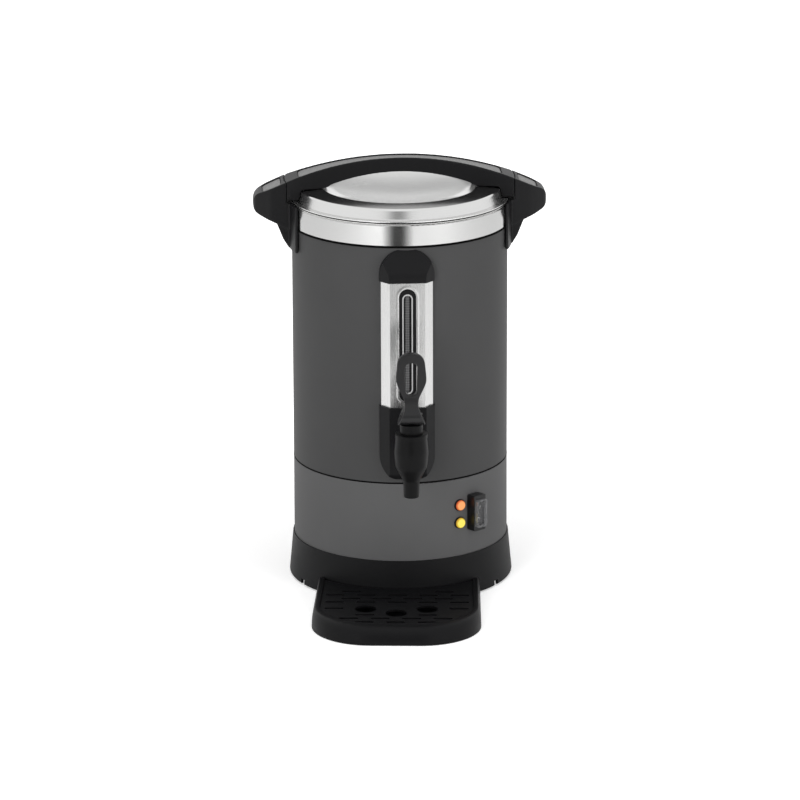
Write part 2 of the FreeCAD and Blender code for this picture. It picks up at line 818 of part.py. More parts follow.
def make_inlet():
    """Strain relief for the lead, its nut, and the terminal block it runs to."""
    level = d.base_top + d.gland_high
    nut_wall = d.gland_radius / 2
    body = new_body("cable_gland", z=level)
    face = d.body_radius + 0.1
    inside = shell_inner - d.gland_inside
    nose = face + d.gland_nose
    revolve(body, [
        (inside, d.gland_bore), (inside, d.gland_radius), (face, d.gland_radius),
        (face, d.gland_flange, 0.5), (face + 4, d.gland_flange, 1), (face + 6, d.gland_radius, 1),
        (nose, d.gland_bore + 2, 1), (nose, d.gland_bore)], role="YZ_Plane", axis="H_Axis")
    keep("cable_gland", body)
    body = new_body("gland_nut", z=level)
    nut_face = root(shell_inner * shell_inner - d.gland_flange * d.gland_flange) - nut_wall - 0.2
    extrude(body, [hexagon(d.gland_flange * 2), (0, 0, d.gland_radius + d.thread_fit)], nut_wall,
            role="XZ_Plane", offset=-nut_face, back=True)
    keep("gland_nut", body)
    body = new_body("terminal_block", turn=tray_turn)
    a = d.block_length / 2
    back = d.block_behind + d.block_width
    extrude(body, [rectangle(-a, d.block_behind, a, back, 2)], d.block_height, offset=plate_top)
    bores = [(d.wire_pitch * place, plate_top + 8, d.wire_bore) for place in (-1, 0, 1)]
    cut(body, bores, back + 20, role="XZ_Plane", offset=-back - 10)
    keep("terminal_block", body)


def make_lamps():
    """Two signal lamps: bezels, lenses and nuts behind the shell."""
    low = seam - d.lamp_high - d.lamp_pitch
    face = d.body_radius + 0.05
    behind, bore, brim = face - d.lamp_depth, d.lens_radius + d.screw_fit, face + d.lamp_brim
    body = level_part("lamp_bezels", [
        (behind, bore), (behind, d.lamp_barrel), (face, d.lamp_barrel), (face, d.lamp_radius),
        (brim, d.lamp_radius, 1.2), (brim, bore)], z=low, turn=d.lamp_turn)
    repeat_up(body, [body.Tip], d.lamp_pitch)
    thread, outer = d.lamp_barrel + 0.05, d.lamp_radius + 1
    near = shell_inner - 0.4
    body = level_part("lamp_nuts", [(near - 3, thread), (near - 3, outer), (near, outer), (near, thread)],
                      z=low, turn=d.lamp_turn)
    repeat_up(body, [body.Tip], d.lamp_pitch)
    behind, under, front = face - d.lamp_depth / 2, brim + 0.05, face + d.lens_proud
    for name, level in (("lamp_lens_yellow", low), ("lamp_lens_orange", low + d.lamp_pitch)):
        level_part(name, [
            (behind, 0), (behind, d.lens_radius), (under, d.lens_radius), (under, d.lens_head),
            (front, d.lens_head, d.lens_round), (front, 0)], z=level, turn=d.lamp_turn)


def make_switch():
    """Rocker switch: frame with its barrel, terminals, rocker and clear cover."""
    level = seam - d.switch_below
    face = d.body_radius + 0.05
    front = face + d.switch_proud
    pivot = front - d.rocker_sunk
    mouth_x = d.switch_mouth_width / 2
    mouth_z = d.switch_mouth_height / 2
    a, b = d.switch_barrel_width / 2, d.switch_barrel_height / 2
    body = new_body("switch_frame", z=level, turn=d.switch_turn)
    extrude(body, [rectangle(-a, -b, a, b, 1.3)], d.switch_depth, role="XZ_Plane",
            offset=face - d.switch_depth)
    a, b = d.switch_width / 2, d.switch_height / 2
    extrude(body, [rectangle(-a, -b, a, b, 1.5)], d.switch_proud, role="XZ_Plane", offset=face)
    cut(body, [rectangle(-mouth_x, -mouth_z, mouth_x, mouth_z)], 18, role="XZ_Plane", offset=front - 17)
    cut(body, [(-pivot, 0, d.rocker_axle + 0.05)], 2 * (mouth_x + 1), role="YZ_Plane", both=True)
    keep("switch_frame", body)

    body = new_body("switch_terminals", z=level, turn=d.switch_turn)
    a, b = d.tab_width / 2, d.tab_wall / 2
    tab = extrude(body, [rectangle(-a, -b - d.tab_pitch, a, b - d.tab_pitch)], d.tab_length,
                  role="XZ_Plane", offset=face - d.switch_depth - d.tab_length)
    repeat_up(body, [tab], d.tab_pitch, 3)
    keep("switch_terminals", body)

    # The rocker is drawn level and tipped so that its lower half is pressed in.
    body = doc.addObject("PartDesign::Body", "switch_rocker")
    body.Label = "switch_rocker"
    half = mouth_z - d.rocker_end_fit
    ridge, edge = d.rocker_ridge, d.rocker_ridge_half
    side = [(-4, half), (0, half), (ridge, edge), (ridge, -edge), (0, -half), (-4, -half), (-2.4, 0, 30)]
    extrude(body, [side], d.switch_mouth_width - 2 * d.rocker_side_fit, role="YZ_Plane", both=True)
    extrude(body, [(0, 0, d.rocker_axle)], d.switch_mouth_width + 1.4, role="YZ_Plane", both=True)
    rest = FreeCAD.Rotation(FreeCAD.Vector(1, 0, 0), d.rocker_angle.number)
    turn = FreeCAD.Rotation(FreeCAD.Vector(0, 0, 1), d.switch_turn.number)
    body.Placement = FreeCAD.Placement(FreeCAD.Vector(0, 0, 0), turn.multiply(rest))
    bind(body, "Placement.Base.x", turned_x(0, -pivot, d.switch_turn))
    bind(body, "Placement.Base.y", turned_y(0, -pivot, d.switch_turn))
    bind(body, "Placement.Base.z", level)
    keep("switch_rocker", body)

    body = new_body("switch_boot", z=level, turn=d.switch_turn)
    a, b = d.boot_width / 2, d.boot_height / 2
    inside = d.boot_wall
    extrude(body, [rectangle(-a, -b, a, b, 2)], d.boot_proud, role="XZ_Plane", offset=front)
    cut(body, [rectangle(inside - a, inside - b, a - inside, b - inside, 1.2)], d.boot_proud - inside,
        role="XZ_Plane", offset=front)
    keep("switch_boot", body)


def gauge_plan(front, flat, half, bevel, back):
    """Plan of the gauge's cover: a flat front with a bevelled facet each side."""
    return [(-flat, -front), (-half, bevel - front), (-half, -back), (half, -back),
            (half, bevel - front), (flat, -front)]


def make_gauge():
    """Steel cover, scale plate and glass of the level gauge, and the black hoods above and below."""
    cap_top = collar_bottom - d.cap_below_collar
    cover_top = cap_top - d.cap_height
    cover_low = tap_level + d.housing_above
    front = d.body_radius + d.gauge_reach
    back = d.body_radius - d.gauge_bevel
    inner = front - d.gauge_wall
    high = cover_top - cover_low
    w = d.gauge_wall

    body = new_body("gauge_cover")
    outer = gauge_plan(front, d.gauge_flat, d.gauge_half_width, d.gauge_bevel, back)
    inside = gauge_plan(inner, d.gauge_flat - w / 2, d.gauge_half_width - w, d.gauge_bevel, back - 1)
    extrude(body, [outer], high, offset=cover_low)
    cut(body, [inside], high + 2, offset=cover_low - 1)
    middle = (cover_top + cover_low) / 2
    window = high - 2 * d.window_margin
    bead_half = d.window_half_width + d.bead_width
    bead = slot(0, middle, window + 2 * d.bead_width, 2 * bead_half, upright=True)
    extrude(body, [bead], d.bead_height + w / 2, role="XZ_Plane", offset=front - w / 2)
    opening = slot(0, middle, window, 2 * d.window_half_width, upright=True)
    cut(body, [opening], 4, role="XZ_Plane", offset=front - 2)
    cut(body, [(0, 0, d.body_radius + d.hood_fit)], high + 2, offset=cover_low - 1)
    keep("gauge_cover", body)

    body = new_body("gauge_scale_plate")
    lap = d.scale_lap
    plate = slot(0, middle, window + 2 * lap, 2 * (d.window_half_width + lap), upright=True)
    extrude(body, [plate], d.scale_wall, role="XZ_Plane", offset=inner - d.scale_wall)
    sight = slot(0, middle, window - 2 * d.tube_slot_margin, 2 * d.tube_slot, upright=True)
    cut(body, [sight], 4, role="XZ_Plane", offset=inner - d.scale_wall - 1)
    keep("gauge_scale_plate", body)

    tube_low = tap_level + d.socket_rise - d.tube_seal_height - 1.5
    tube_high = cover_top + d.tube_seal_height
    tube_at = -(d.body_radius + d.tube_reach)
    tube_inner = d.tube_radius - d.tube_wall
    turned_part("gauge_tube", [
        (tube_inner, tube_low), (d.tube_radius, tube_low), (d.tube_radius, tube_high),
        (tube_inner, tube_high)], y=tube_at)
    body = new_body("gauge_seals", y=tube_at)
    seal_outer = d.tube_radius + d.tube_seal_wall
    for level in (tube_low + 1, tube_high - d.tube_seal_height):
        extrude(body, [(0, 0, seal_outer), (0, 0, d.tube_radius + 0.02)], d.tube_seal_height, offset=level)
    keep("gauge_seals", body)

    grow = d.hood_grow
    hood_front = front + grow
    hood_plan = gauge_plan(hood_front, d.gauge_flat + 1, d.gauge_half_width + grow, d.gauge_bevel, back)
    half = d.gauge_half_width + grow
    core = d.gauge_flat - 2

    body = new_body("gauge_cap")
    extrude(body, [hood_plan], d.cap_height, offset=cover_top)
    far = 2 * d.body_radius
    arch = [(-half, cover_top), (half, cover_top), (half, cap_top, d.cap_height * 0.82),
            (-half, cap_top, d.cap_height * 0.82)]
    cut(body, [rectangle(-far, 0, far, far * 3), arch], far, role="XZ_Plane")
    nose = [(-hood_front, cover_top), (-hood_front, cover_top + 8, 14), (1 - d.body_radius, cap_top),
            (0, cap_top), (0, cover_top)]
    cut(body, [rectangle(-far, 0, far, far * 3), nose], far, role="YZ_Plane", both=True)
    hollow = d.hood_wall - hood_front
    cut(body, [[(hollow, cover_top - 1), (hollow, cover_top + d.tube_seal_height + 0.5),
                (-d.body_radius - 2, cap_top - 9), (0, cap_top - 9), (0, cover_top - 1)]],
        2 * (core - 1), role="YZ_Plane", both=True)
    cut(body, [(0, 0, d.body_radius + d.hood_fit)], d.cap_height + 2, offset=cover_top - 1)
    keep("gauge_cap", body)

    low = tap_level - d.housing_below
    body = new_body("tap_housing")
    extrude(body, [hood_plan], cover_low - low, offset=low)
    bowl = [(-half, low, d.housing_round), (half, low, d.housing_round), (half, cover_low),
            (-half, cover_low)]
    cut(body, [rectangle(-far, 0, far, far * 3), bowl], far, role="XZ_Plane")
    chin = [(-hood_front, low, 10), (0, low), (0, cover_low), (-hood_front, cover_low)]
    cut(body, [rectangle(-far, 0, far, far * 3), chin], far, role="YZ_Plane", both=True)
    hollow = rectangle(-core, low + d.housing_floor, core, cover_low + 1, 6)
    cut(body, [hollow], hood_front - d.hood_wall, role="XZ_Plane")
    cut(body, [(0, tap_level, d.shank_radius + d.shank_fit)], hood_front + 2, role="XZ_Plane")
    cut(body, [(0, 0, d.body_radius + d.hood_fit)], cover_low - low + 2, offset=low - 1)
    keep("tap_housing", body)


def make_tap():
    """Shank with its gauge socket, washers and nuts, spout, bonnet, valve and spring."""
    tank_face = root(tank_inner * tank_inner - d.washer_radius * d.washer_radius)
    axis = d.body_radius + d.tap_reach
    housing_front = d.body_radius + d.gauge_reach + d.hood_grow
    shank_end = axis - d.chamber_radius - 7
    socket_at = d.body_radius + d.tube_reach
    socket_top = d.socket_rise
    collar_face = tank_radius + d.washer_wall + 0.1

    body = new_body("tap_shank", z=tap_level)
    start = tank_face - d.shank_inside
    revolve(body, [
        (-start, 0), (-start, d.shank_radius), (-collar_face, d.shank_radius),
        (-collar_face, d.washer_radius), (-(collar_face + 4), d.washer_radius),
        (-(collar_face + 4), d.shank_radius), (-shank_end, d.shank_radius), (-shank_end, 0)],
        role="YZ_Plane", axis="H_Axis")
    extrude(body, [(0, -socket_at, d.socket_radius)], socket_top)
    cut(body, [(0, 0, d.shank_bore)], 2 * axis, role="XZ_Plane", offset=-10)
    cut(body, [(0, -socket_at, d.tube_radius - d.tube_wall)], socket_top + 1)
    seat = d.tube_radius + d.tube_seal_wall + 0.03
    cut(body, [(0, -socket_at, seat)], 20, offset=socket_top - d.tube_seal_height - 2)
    keep("tap_shank", body)

    hole = d.shank_radius + 0.1
    body = new_body("tap_washers", z=tap_level)
    for face in (tank_radius + 0.05, tank_face - d.washer_wall - 0.1):
        loops = [(0, 0, d.washer_radius - 0.5), (0, 0, hole)]
        extrude(body, loops, d.washer_wall, role="XZ_Plane", offset=face)
    keep("tap_washers", body)
    body = new_body("tap_nut", z=tap_level)
    extrude(body, [hexagon(d.shank_radius * 3), (0, 0, d.shank_radius + d.thread_fit)], 5, role="XZ_Plane",
            offset=tank_face - d.washer_wall - 5.2)
    keep("tap_nut", body)
    body = new_body("tap_locknut", z=tap_level)
    thread = (0, 0, d.shank_radius + d.thread_fit)
    extrude(body, [hexagon(d.shank_radius * 2.75), thread], 5, role="XZ_Plane", offset=housing_front + 0.1)
    keep("tap_locknut", body)

    # The spout is drawn about its own axis, with zero at the tap's level.
    seat_level = -d.seat_below
    body = new_body("tap_body", z=tap_level, y=-axis)
    revolve(body, [
        (0, -d.nozzle_below), (d.nozzle_radius, -d.nozzle_below, 0.8), (d.nozzle_radius + 0.5, -27.5, 4),
        (d.spout_radius - 1.2, -12, 16), (d.spout_radius, 3.5, 30), (d.bonnet_radius - 0.4, d.spout_top),
        (0, d.spout_top)])
    extrude(body, [(0, 0, d.boss_radius)], d.boss_reach - 8, role="XZ_Plane", offset=-d.boss_reach)
    groove(body, [
        (0, -d.nozzle_below - 1), (d.seat_bore, -d.nozzle_below - 1), (d.seat_bore, seat_level),
        (d.chamber_radius, seat_level), (d.chamber_radius, d.spout_top + 1), (0, d.spout_top + 1)])
    cut(body, [(0, 0, d.shank_bore)], d.boss_reach + 1, role="XZ_Plane", offset=-d.boss_reach - 1)
    cut(body, [(0, 0, d.shank_radius + 0.1)], axis - shank_end, role="XZ_Plane", offset=-d.boss_reach - 1)
    keep("tap_body", body)

    bonnet_top = d.spout_top + d.bonnet_height
    neck_top = bonnet_top + d.neck_height
    bore = d.stem_radius + d.stem_fit
    plug_low = d.spout_top - 6
    turned_part("tap_bonnet", [
        (bore, plug_low), (d.chamber_radius - 0.05, plug_low), (d.chamber_radius - 0.05, d.spout_top),
        (d.bonnet_radius, d.spout_top), (d.bonnet_radius, bonnet_top, 0.8), (d.neck_radius, bonnet_top),
        (d.neck_radius + 0.4, neck_top, 0.5), (bore, neck_top)], z=tap_level, y=-axis)

    pin_level = neck_top + d.lever_fit + d.hub_radius
    stem_low = seat_level + 4
    stem_top = pin_level + d.stem_beyond
    body = turned_part("valve_stem", [
        (0, stem_low), (d.stem_radius, stem_low), (d.stem_radius, stem_top, 0.8), (0, stem_top)],
        z=tap_level, y=-axis)
    cut(body, [(0, pin_level, d.pin_radius + 0.02)], 4 * d.stem_radius, role="YZ_Plane", both=True)
    body = turned_part("seat_cup", [
        (0, seat_level + d.cup_fit), (d.cup_radius - 1.5, seat_level + d.cup_fit),
        (d.cup_radius, seat_level + 2.5), (d.cup_radius, seat_level + d.cup_height, 1),
        (d.stem_radius + 0.02, seat_level + d.cup_height), (d.stem_radius + 0.02, stem_low - 0.02),
        (0, stem_low - 0.02)], z=tap_level, y=-axis)
    body = new_body("lever_pin", z=tap_level, y=-axis)
    extrude(body, [(0, pin_level, d.pin_radius)], 2 * (d.lever_skirt - 3), role="YZ_Plane", both=True)
    keep("lever_pin", body)

    spring = doc.addObject("Part::Feature", "valve_spring")
    spring.Label = "valve_spring"
    spring.Shape = coil(d.spring_radius.number, d.spring_wire.number,
                        (plug_low - seat_level - d.cup_height).number - 0.1, int(d.spring_turns.number))
    spring.Placement.Base = FreeCAD.Vector(
        0, -axis.number, (tap_level + seat_level + d.cup_height).number + 0.05)
    keep("valve_spring", spring)


def coil(radius, wire, height, turns):
    """A compression spring as one tube along arcs of a quarter turn."""
    low, high = wire, height - wire
    steps = turns * 4

    def point(fraction):
        angle = 2 * math.pi * turns * fraction
        level = low + (high - low) * fraction
        return FreeCAD.Vector(radius * math.cos(angle), radius * math.sin(angle), level)

    arcs = [Part.Arc(point(i / steps), point((i + 0.5) / steps), point((i + 1) / steps)).toShape()
            for i in range(steps)]
    path = Part.Wire(arcs)
    section = Part.Wire(Part.Circle(point(0), FreeCAD.Vector(0, 1, 0), wire).toShape())
    pitch = (high - low) / turns
    print(f"valve spring: least gap between its turns {pitch - 2 * wire:.2f} mm")
    return path.makePipeShell([section], True, False)


def make_lever():
    """Looped tap lever; its round foot is offset from the pin so that tipping it lifts the valve."""
    axis = d.body_radius + d.tap_reach
    neck_top = d.spout_top + d.bonnet_height + d.neck_height
    pin_level = neck_top + d.lever_fit + d.hub_radius
    low = pin_level - d.hub_radius
    top = low + d.lever_height
    far = 200
    body = new_body("tap_lever", z=tap_level, y=-axis)
    half = d.lever_half_width
    waist = d.lever_waist - 1
    outline = [
        (-d.lever_skirt, low), (d.lever_skirt, low), (waist, low + 21, 18), (half, low + 44, 18),
        (half - 1, top, half * 0.85), (1 - half, top, half * 0.85), (-half, low + 44, 18),
        (-waist, low + 21, 18)]
    extrude(body, [outline], 60, role="XZ_Plane", both=True)
    h = d.hub_radius
    blade = d.lever_wall / 2
    side = [
        (h, low, h * 0.95), (-d.hub_offset - h, low, h * 0.95), (-d.hub_offset - h, low + 11, 6),
        (-blade, low + 24, 12), (-blade, top), (blade, top), (blade, low + 24, 12), (h, low + 13, 6)]
    cut(body, [rectangle(-far, -far, far, far), side], far, role="YZ_Plane", both=True)
    loop = d.loop_half_width
    loop_low, loop_high = low + d.loop_bottom, low + d.loop_top
    hole = [(-loop * 0.8, loop_low, loop * 0.7), (loop * 0.8, loop_low, loop * 0.7),
            (loop, loop_high, loop * 0.9), (-loop, loop_high, loop * 0.9)]
    cut(body, [hole], 60, role="XZ_Plane", both=True)
    stem_slot = rectangle(-d.lever_slot, low - 1, d.lever_slot, pin_level + d.stem_beyond + 2)
    cut(body, [stem_slot], 60, role="XZ_Plane", both=True)
    cut(body, [(0, pin_level, d.pin_radius + 0.05)], 2 * (d.lever_skirt - 2.8), role="YZ_Plane", both=True)
    keep("tap_lever", body)


def arch(half_span, radius):
    """Slope of an arch's end tangents, and how far above its crown they meet."""
    level = root(radius * radius - half_span * half_span)
    return half_span / level, radius * radius / level - radius


def bar_plan(reach, margin=0):
    """Plan of the bar across the lid: narrow in the middle, widening to its ends."""
    slope, rise = arch(reach - 8, d.bar_plan_radius)
    waist = d.bar_waist - margin - rise
    end = waist + slope * reach
    return [(reach, end), (0, waist, d.bar_plan_radius), (-reach, end),
            (-reach, -end), (0, -waist, d.bar_plan_radius), (reach, -end)]


def grip_strip(name, crown, depth, above, grow):
    """The bar's inset grip: a strip between two arcs that follow the bar's top."""
    reach = seam_radius - d.grip_inset + grow
    slope, rise = arch(reach - 2, bar_top_radius)
    apex = crown + above + rise * (bar_top_radius + above) / bar_top_radius
    low = crown - depth + rise * (bar_top_radius - depth) / bar_top_radius
    body = new_body(name)
    extrude(body, [[
        (reach, low - slope * reach), (reach, apex - slope * reach),
        (0, apex, bar_top_radius + above), (-reach, apex - slope * reach),
        (-reach, low - slope * reach), (0, low, bar_top_radius - depth)]], 60, role="XZ_Plane", both=True)
    plan = bar_plan(reach, d.grip_margin - grow)
    for corner in (0, 2, 3, 5):
        plan[corner] = plan[corner] + (6,)
    beyond = reach + 9
    cut(body, [rectangle(-beyond, -70, beyond, 70), plan], 90, offset=crown - 60)
    return body


def make_lid():
    """Lid pan with its dish, seal, the arched bar, its grip pad and screws."""
    seal_top = tank_flange_top + d.seal_wall
    plug_outer = tank_inner - 0.6
    plug_low = tank_flange_top - d.plug_depth
    turned_part("lid_seal", [
        (plug_outer - 2, plug_low), (plug_outer, plug_low, 0.6), (plug_outer, tank_flange_top + 0.1),
        (tank_radius + 8, tank_flange_top + 0.1), (tank_radius + 8, seal_top), (plug_outer - 2, seal_top)])
    flange = seal_top + 0.05
    flange_top = flange + d.lid_wall
    top = rim + d.lid_rise
    flange_outer = collar_outer + 0.4
    wall_outer = flange_outer - d.lid_flange_width
    crest = wall_outer - d.lid_wall_lean
    dish_rim = crest - d.lid_annulus
    w = d.lid_wall
    dish = top - d.dish_depth
    pan = turned_part("lid_pan", [
        (0, dish), (dish_rim / 2, dish, d.dish_round), (dish_rim, top, 1.5), (crest, top - 0.4, 3.5),
        (wall_outer, flange_top, 1), (flange_outer, flange_top, 0.45), (flange_outer, flange, 0.45),
        (wall_outer - w, flange, 1), (crest - w, top - w - 0.4, 2.5), (dish_rim + w / 2, top - w, 0.5),
        (dish_rim / 2, dish - w, d.dish_round + 1), (0, dish - w)])
    screw_at = (crest + dish_rim) / 2
    hole = cut(pan, [(screw_at, 0, d.screw_radius + d.screw_fit)], 4, offset=top - w - 2)
    around(pan, [hole], 2)

    # The bar's end faces lie on a cylinder about the urn's axis, so that the lid can turn.
    fit = d.bar_fit
    crown = rim + d.bar_crown
    end_reach = seam_radius + 6
    slope, rise = arch(seam_radius, bar_top_radius)
    drop = crown - d.bar_thickness - top - d.bar_toe
    under_reach = root(drop * (2 * d.bar_under_radius - drop))
    under_slope, under_rise = arch(under_reach, d.bar_under_radius)
    under_apex = crown - d.bar_thickness + under_rise
    toe = under_reach + 4
    toe_level = under_apex - under_slope * toe
    foot = dish_rim - 3
    shoulder = crown + rise - slope * end_reach
    bar = new_body("lid_bar")
    extrude(bar, [[
        (foot, top - 0.4), (foot, flange_top), (end_reach, flange_top), (end_reach, shoulder),
        (0, crown + rise, bar_top_radius), (-end_reach, shoulder), (-end_reach, flange_top),
        (-foot, flange_top), (-foot, top - 0.4), (-toe, toe_level, 6),
        (0, under_apex, d.bar_under_radius), (toe, toe_level, 6)]], 80, role="XZ_Plane", both=True)
    far = end_reach + 30
    cut(bar, [rectangle(-far, -60, far, 60), bar_plan(end_reach + 5)], 90, offset=flange_top - 5)
    cut(bar, [(0, 0, far + 40), (0, 0, seam_radius - d.seam_gap / 2)], 90, offset=flange_top - 5)
    groove(bar, [
        (0, rim), (flange_outer + 10, rim), (flange_outer + 10, flange_top + fit),
        (wall_outer + fit, flange_top + fit, 0.7), (crest + fit, top + fit - 0.4, 3.8),
        (dish_rim, top + fit), (0, top + fit)])
    bore = cut(bar, [(screw_at, 0, d.screw_radius + 0.05)], 12, offset=top - 1)
    around(bar, [bore], 2)
    soften(bar, d.bar_edge, lambda edge: long_edge(edge, (crown - d.bar_thickness / 2).number))
    recess = grip_strip("lid_grip_recess", crown, d.grip_depth + d.grip_fit, Size(2), d.grip_fit)
    keep("lid_handle", subtract("lid_handle", bar, recess))
    keep("lid_grip_pad", grip_strip("lid_grip_pad", crown, d.grip_depth, Size(0), Size(0)))

    body = new_body("lid_screws")
    seat = top - w - 0.5
    thick = d.screw_head_height
    head = extrude(body, [(screw_at, 0, d.screw_head)], thick, offset=seat - thick)
    shank = extrude(body, [(screw_at, 0, d.screw_radius)], 11, offset=seat)
    around(body, [head, shank], 2)
    keep("lid_screws", body)


def subtract(name, base, tool):
    doc.recompute()
    result = doc.addObject("Part::Cut", name)
    result.Base = base
    result.Tool = tool
    result.Label = name
    return result


def long_edge(edge, above):
    """The long edges along the front and back of the bar's top."""
    box = edge.BoundBox
    return box.ZMax > above and box.XLength > 60 and abs(box.Center.y) > 5


def mirrored(corners, side):
    return [(c[0] * side,) + tuple(c[1:]) for c in corners]


def make_handles():
    """The carrying handles with their brackets, their inset pads and the screws that hold them."""
    crown = rim + d.bar_crown
    slope, rise = arch(seam_radius, bar_top_radius)
    seam_top = crown + rise - slope * seam_radius
    inner = seam_radius + d.seam_gap / 2
    outer = d.body_radius + d.handle_reach
    ledge = rim + d.ledge_rise
    saddle = collar_outer + d.saddle_gap
    start = saddle + 1
    low = rim - d.bracket_drop
    half = d.handle_half_width
    end_top = seam_top - d.handle_slope * (outer - inner)
    end_low = rim - d.grip_end_drop
    under = end_low - d.grip_under_slope * (outer - start)
    levels = handle_screw_levels()
    pads = []
    pad_start = inner + 4
    pad_end = outer - 10

    def pad_outline(depth, above, grow):
        first, last = pad_start - grow, pad_end + grow
        near = seam_top - d.handle_slope * (first - inner)
        far = seam_top - d.handle_slope * (last - inner)
        return [(first, near - depth), (last, far - depth), (last, far + above), (first, near + above)]

    for name, side in (("side_handle_left", -1), ("side_handle_right", 1)):
        grip = new_body(f"{name}_grip")
        wing = [(start, under), (outer, end_low, 9), (outer, end_top, 7), (inner, seam_top),
                (start, seam_top + d.handle_slope * (inner - start))]
        extrude(grip, [mirrored(wing, side)], 2 * half, role="XZ_Plane", both=True)
        plan = [(start - 6, -half), (outer - 14, -half, 18), (outer, -half * 0.5, 8),
                (outer, half * 0.5, 8), (outer - 14, half, 18), (start - 6, half)]
        cut(grip, [mirrored(rectangle(start - 30, -60, outer + 40, 60), side), mirrored(plan, side)], 150,
            offset=low)
        cut(grip, [(0, 0, inner)], 60, offset=ledge)
        cut(grip, [mirrored(pad_outline(d.grip_depth + d.grip_fit, Size(5), d.grip_fit), side)],
            2 * (half - d.grip_margin + d.grip_fit), role="XZ_Plane", both=True)

        web = new_body(f"{name}_web")
        extrude(web, [mirrored([
            (start, low + 5), (saddle + 3, low + 5), (saddle + 8, low + 14, 10), (saddle + 11, low + 26, 8),
            (saddle + 12.5, under + 12), (start, under + 8)], side)], 2 * d.bracket_half_width,
            role="XZ_Plane", both=True)

        plate = new_body(f"{name}_saddle")
        wide = d.saddle_half_width
        slab = mirrored(rectangle(saddle - 20, -wide, saddle + 20, wide), side)
        extrude(plate, [slab], ledge - low, offset=low)
        cut(plate, [(0, 0, saddle)], 90, offset=low - 5)
        cut(plate, [(0, 0, saddle + 60), (0, 0, saddle + d.saddle_wall)], 90, offset=low - 5)

        joined = doc.addObject("Part::MultiFuse", f"{name}_joined")
        joined.Shapes = [grip, web, plate]
        bores = new_body(f"{name}_bores")
        for height in levels:
            hole = (0, height, d.screw_radius + 0.05)
            extrude(bores, [hole], saddle + 10, role="YZ_Plane", back=side < 0)
        keep(name, subtract(name, joined, bores))

        pad = new_body(f"{name}_pad")
        extrude(pad, [mirrored(pad_outline(d.grip_depth, Size(0), Size(0)), side)],
                2 * (half - d.grip_margin), role="XZ_Plane", both=True)
        pads.append(pad)
    keep("side_grip_pads", gather("side_grip_pads", pads))

    screws = []
    seat = shell_inner - 0.1
    head_height = d.screw_head_height
    shapes = (("head", d.screw_head, seat - head_height, head_height),
              ("shank", d.screw_radius, seat, d.handle_screw_length))
    for side in (-1, 1):
        for height in levels:
            for part, radius, start_at, length in shapes:
                body = new_body(f"handle_screw_{part}")
                extrude(body, [(0, height, radius)], length, role="YZ_Plane", offset=start_at * side,
                        back=side < 0)
                screws.append(body)
    joined = doc.addObject("Part::MultiFuse", "handle_screws")
    joined.Shapes = screws
    keep("handle_screws", joined)


def gather(name, pieces):
    doc.recompute()
    group = doc.addObject("Part::Compound", name)
    group.Links = pieces
    group.Label = name
    return group


def make_percolator():
    """Foot, riser, filter basket and its cover, which lift out of the tank together."""
    floor = well_bottom + d.tank_wall + 0.1
    riser_top = rim - d.riser_below_rim
    cover_level = rim - d.basket_below_rim
    basket_low = cover_level - d.basket_depth
    inner = d.riser_radius - d.riser_wall
    bell = d.foot_bell_radius
    fit = d.riser_radius + 0.05
    turned_part("pump_foot", [
        (bell - 1, floor), (bell, floor), (bell, floor + 4, 2), (10, floor + 9, 4), (9, floor + 18),
        (fit, floor + 18), (fit, floor + 8), (9, floor + 8, 3), (bell - 1, floor + 3.4, 1)])
    collar = d.riser_radius + 3
    turned_part("riser_tube", [
        (inner, floor + 6), (d.riser_radius, floor + 6), (d.riser_radius, basket_low - 3),
        (collar, basket_low - 3), (collar, basket_low), (d.riser_radius, basket_low),
        (d.riser_radius, riser_top), (inner, riser_top)])
    w = d.basket_wall
    hub = d.riser_radius + d.hub_fit
    hub_top = basket_low + d.basket_depth * 0.6
    body = turned_part("filter_basket", [
        (hub, basket_low), (d.basket_radius, basket_low, 3), (d.basket_radius, cover_level - w),
        (d.basket_radius + 3, cover_level - w), (d.basket_radius + 3, cover_level),
        (d.basket_radius - w, cover_level), (d.basket_radius - w, basket_low + w, 2.2),
        (hub + w, basket_low + w), (hub + w, hub_top), (hub, hub_top)])
    for share, count in ((0.3, 12), (0.45, 18), (0.6, 24), (0.75, 30)):
        hole = cut(body, [(d.basket_radius * share, 0, 1.3)], w + 2, offset=basket_low - 1)
        around(body, [hole], count)
    lid_low = cover_level + 0.1
    raised = lid_low + d.cover_rise
    step_in = d.basket_radius - 6
    step_out = step_in + 2 * d.cover_rise / 3
    body = turned_part("basket_cover", [
        (hub, raised - w), (step_in - w / 2, raised - w), (step_out - w / 2, lid_low),
        (d.basket_radius + 2, lid_low), (d.basket_radius + 2, lid_low + w), (step_out, lid_low + w),
        (step_in, raised), (hub, raised)])
    for share, count in ((0.3, 12), (0.5, 18), (0.7, 24)):
        hole = cut(body, [(d.basket_radius * share, 0, 1.6)], 6, offset=cover_level - 1)
        around(body, [hole], count)


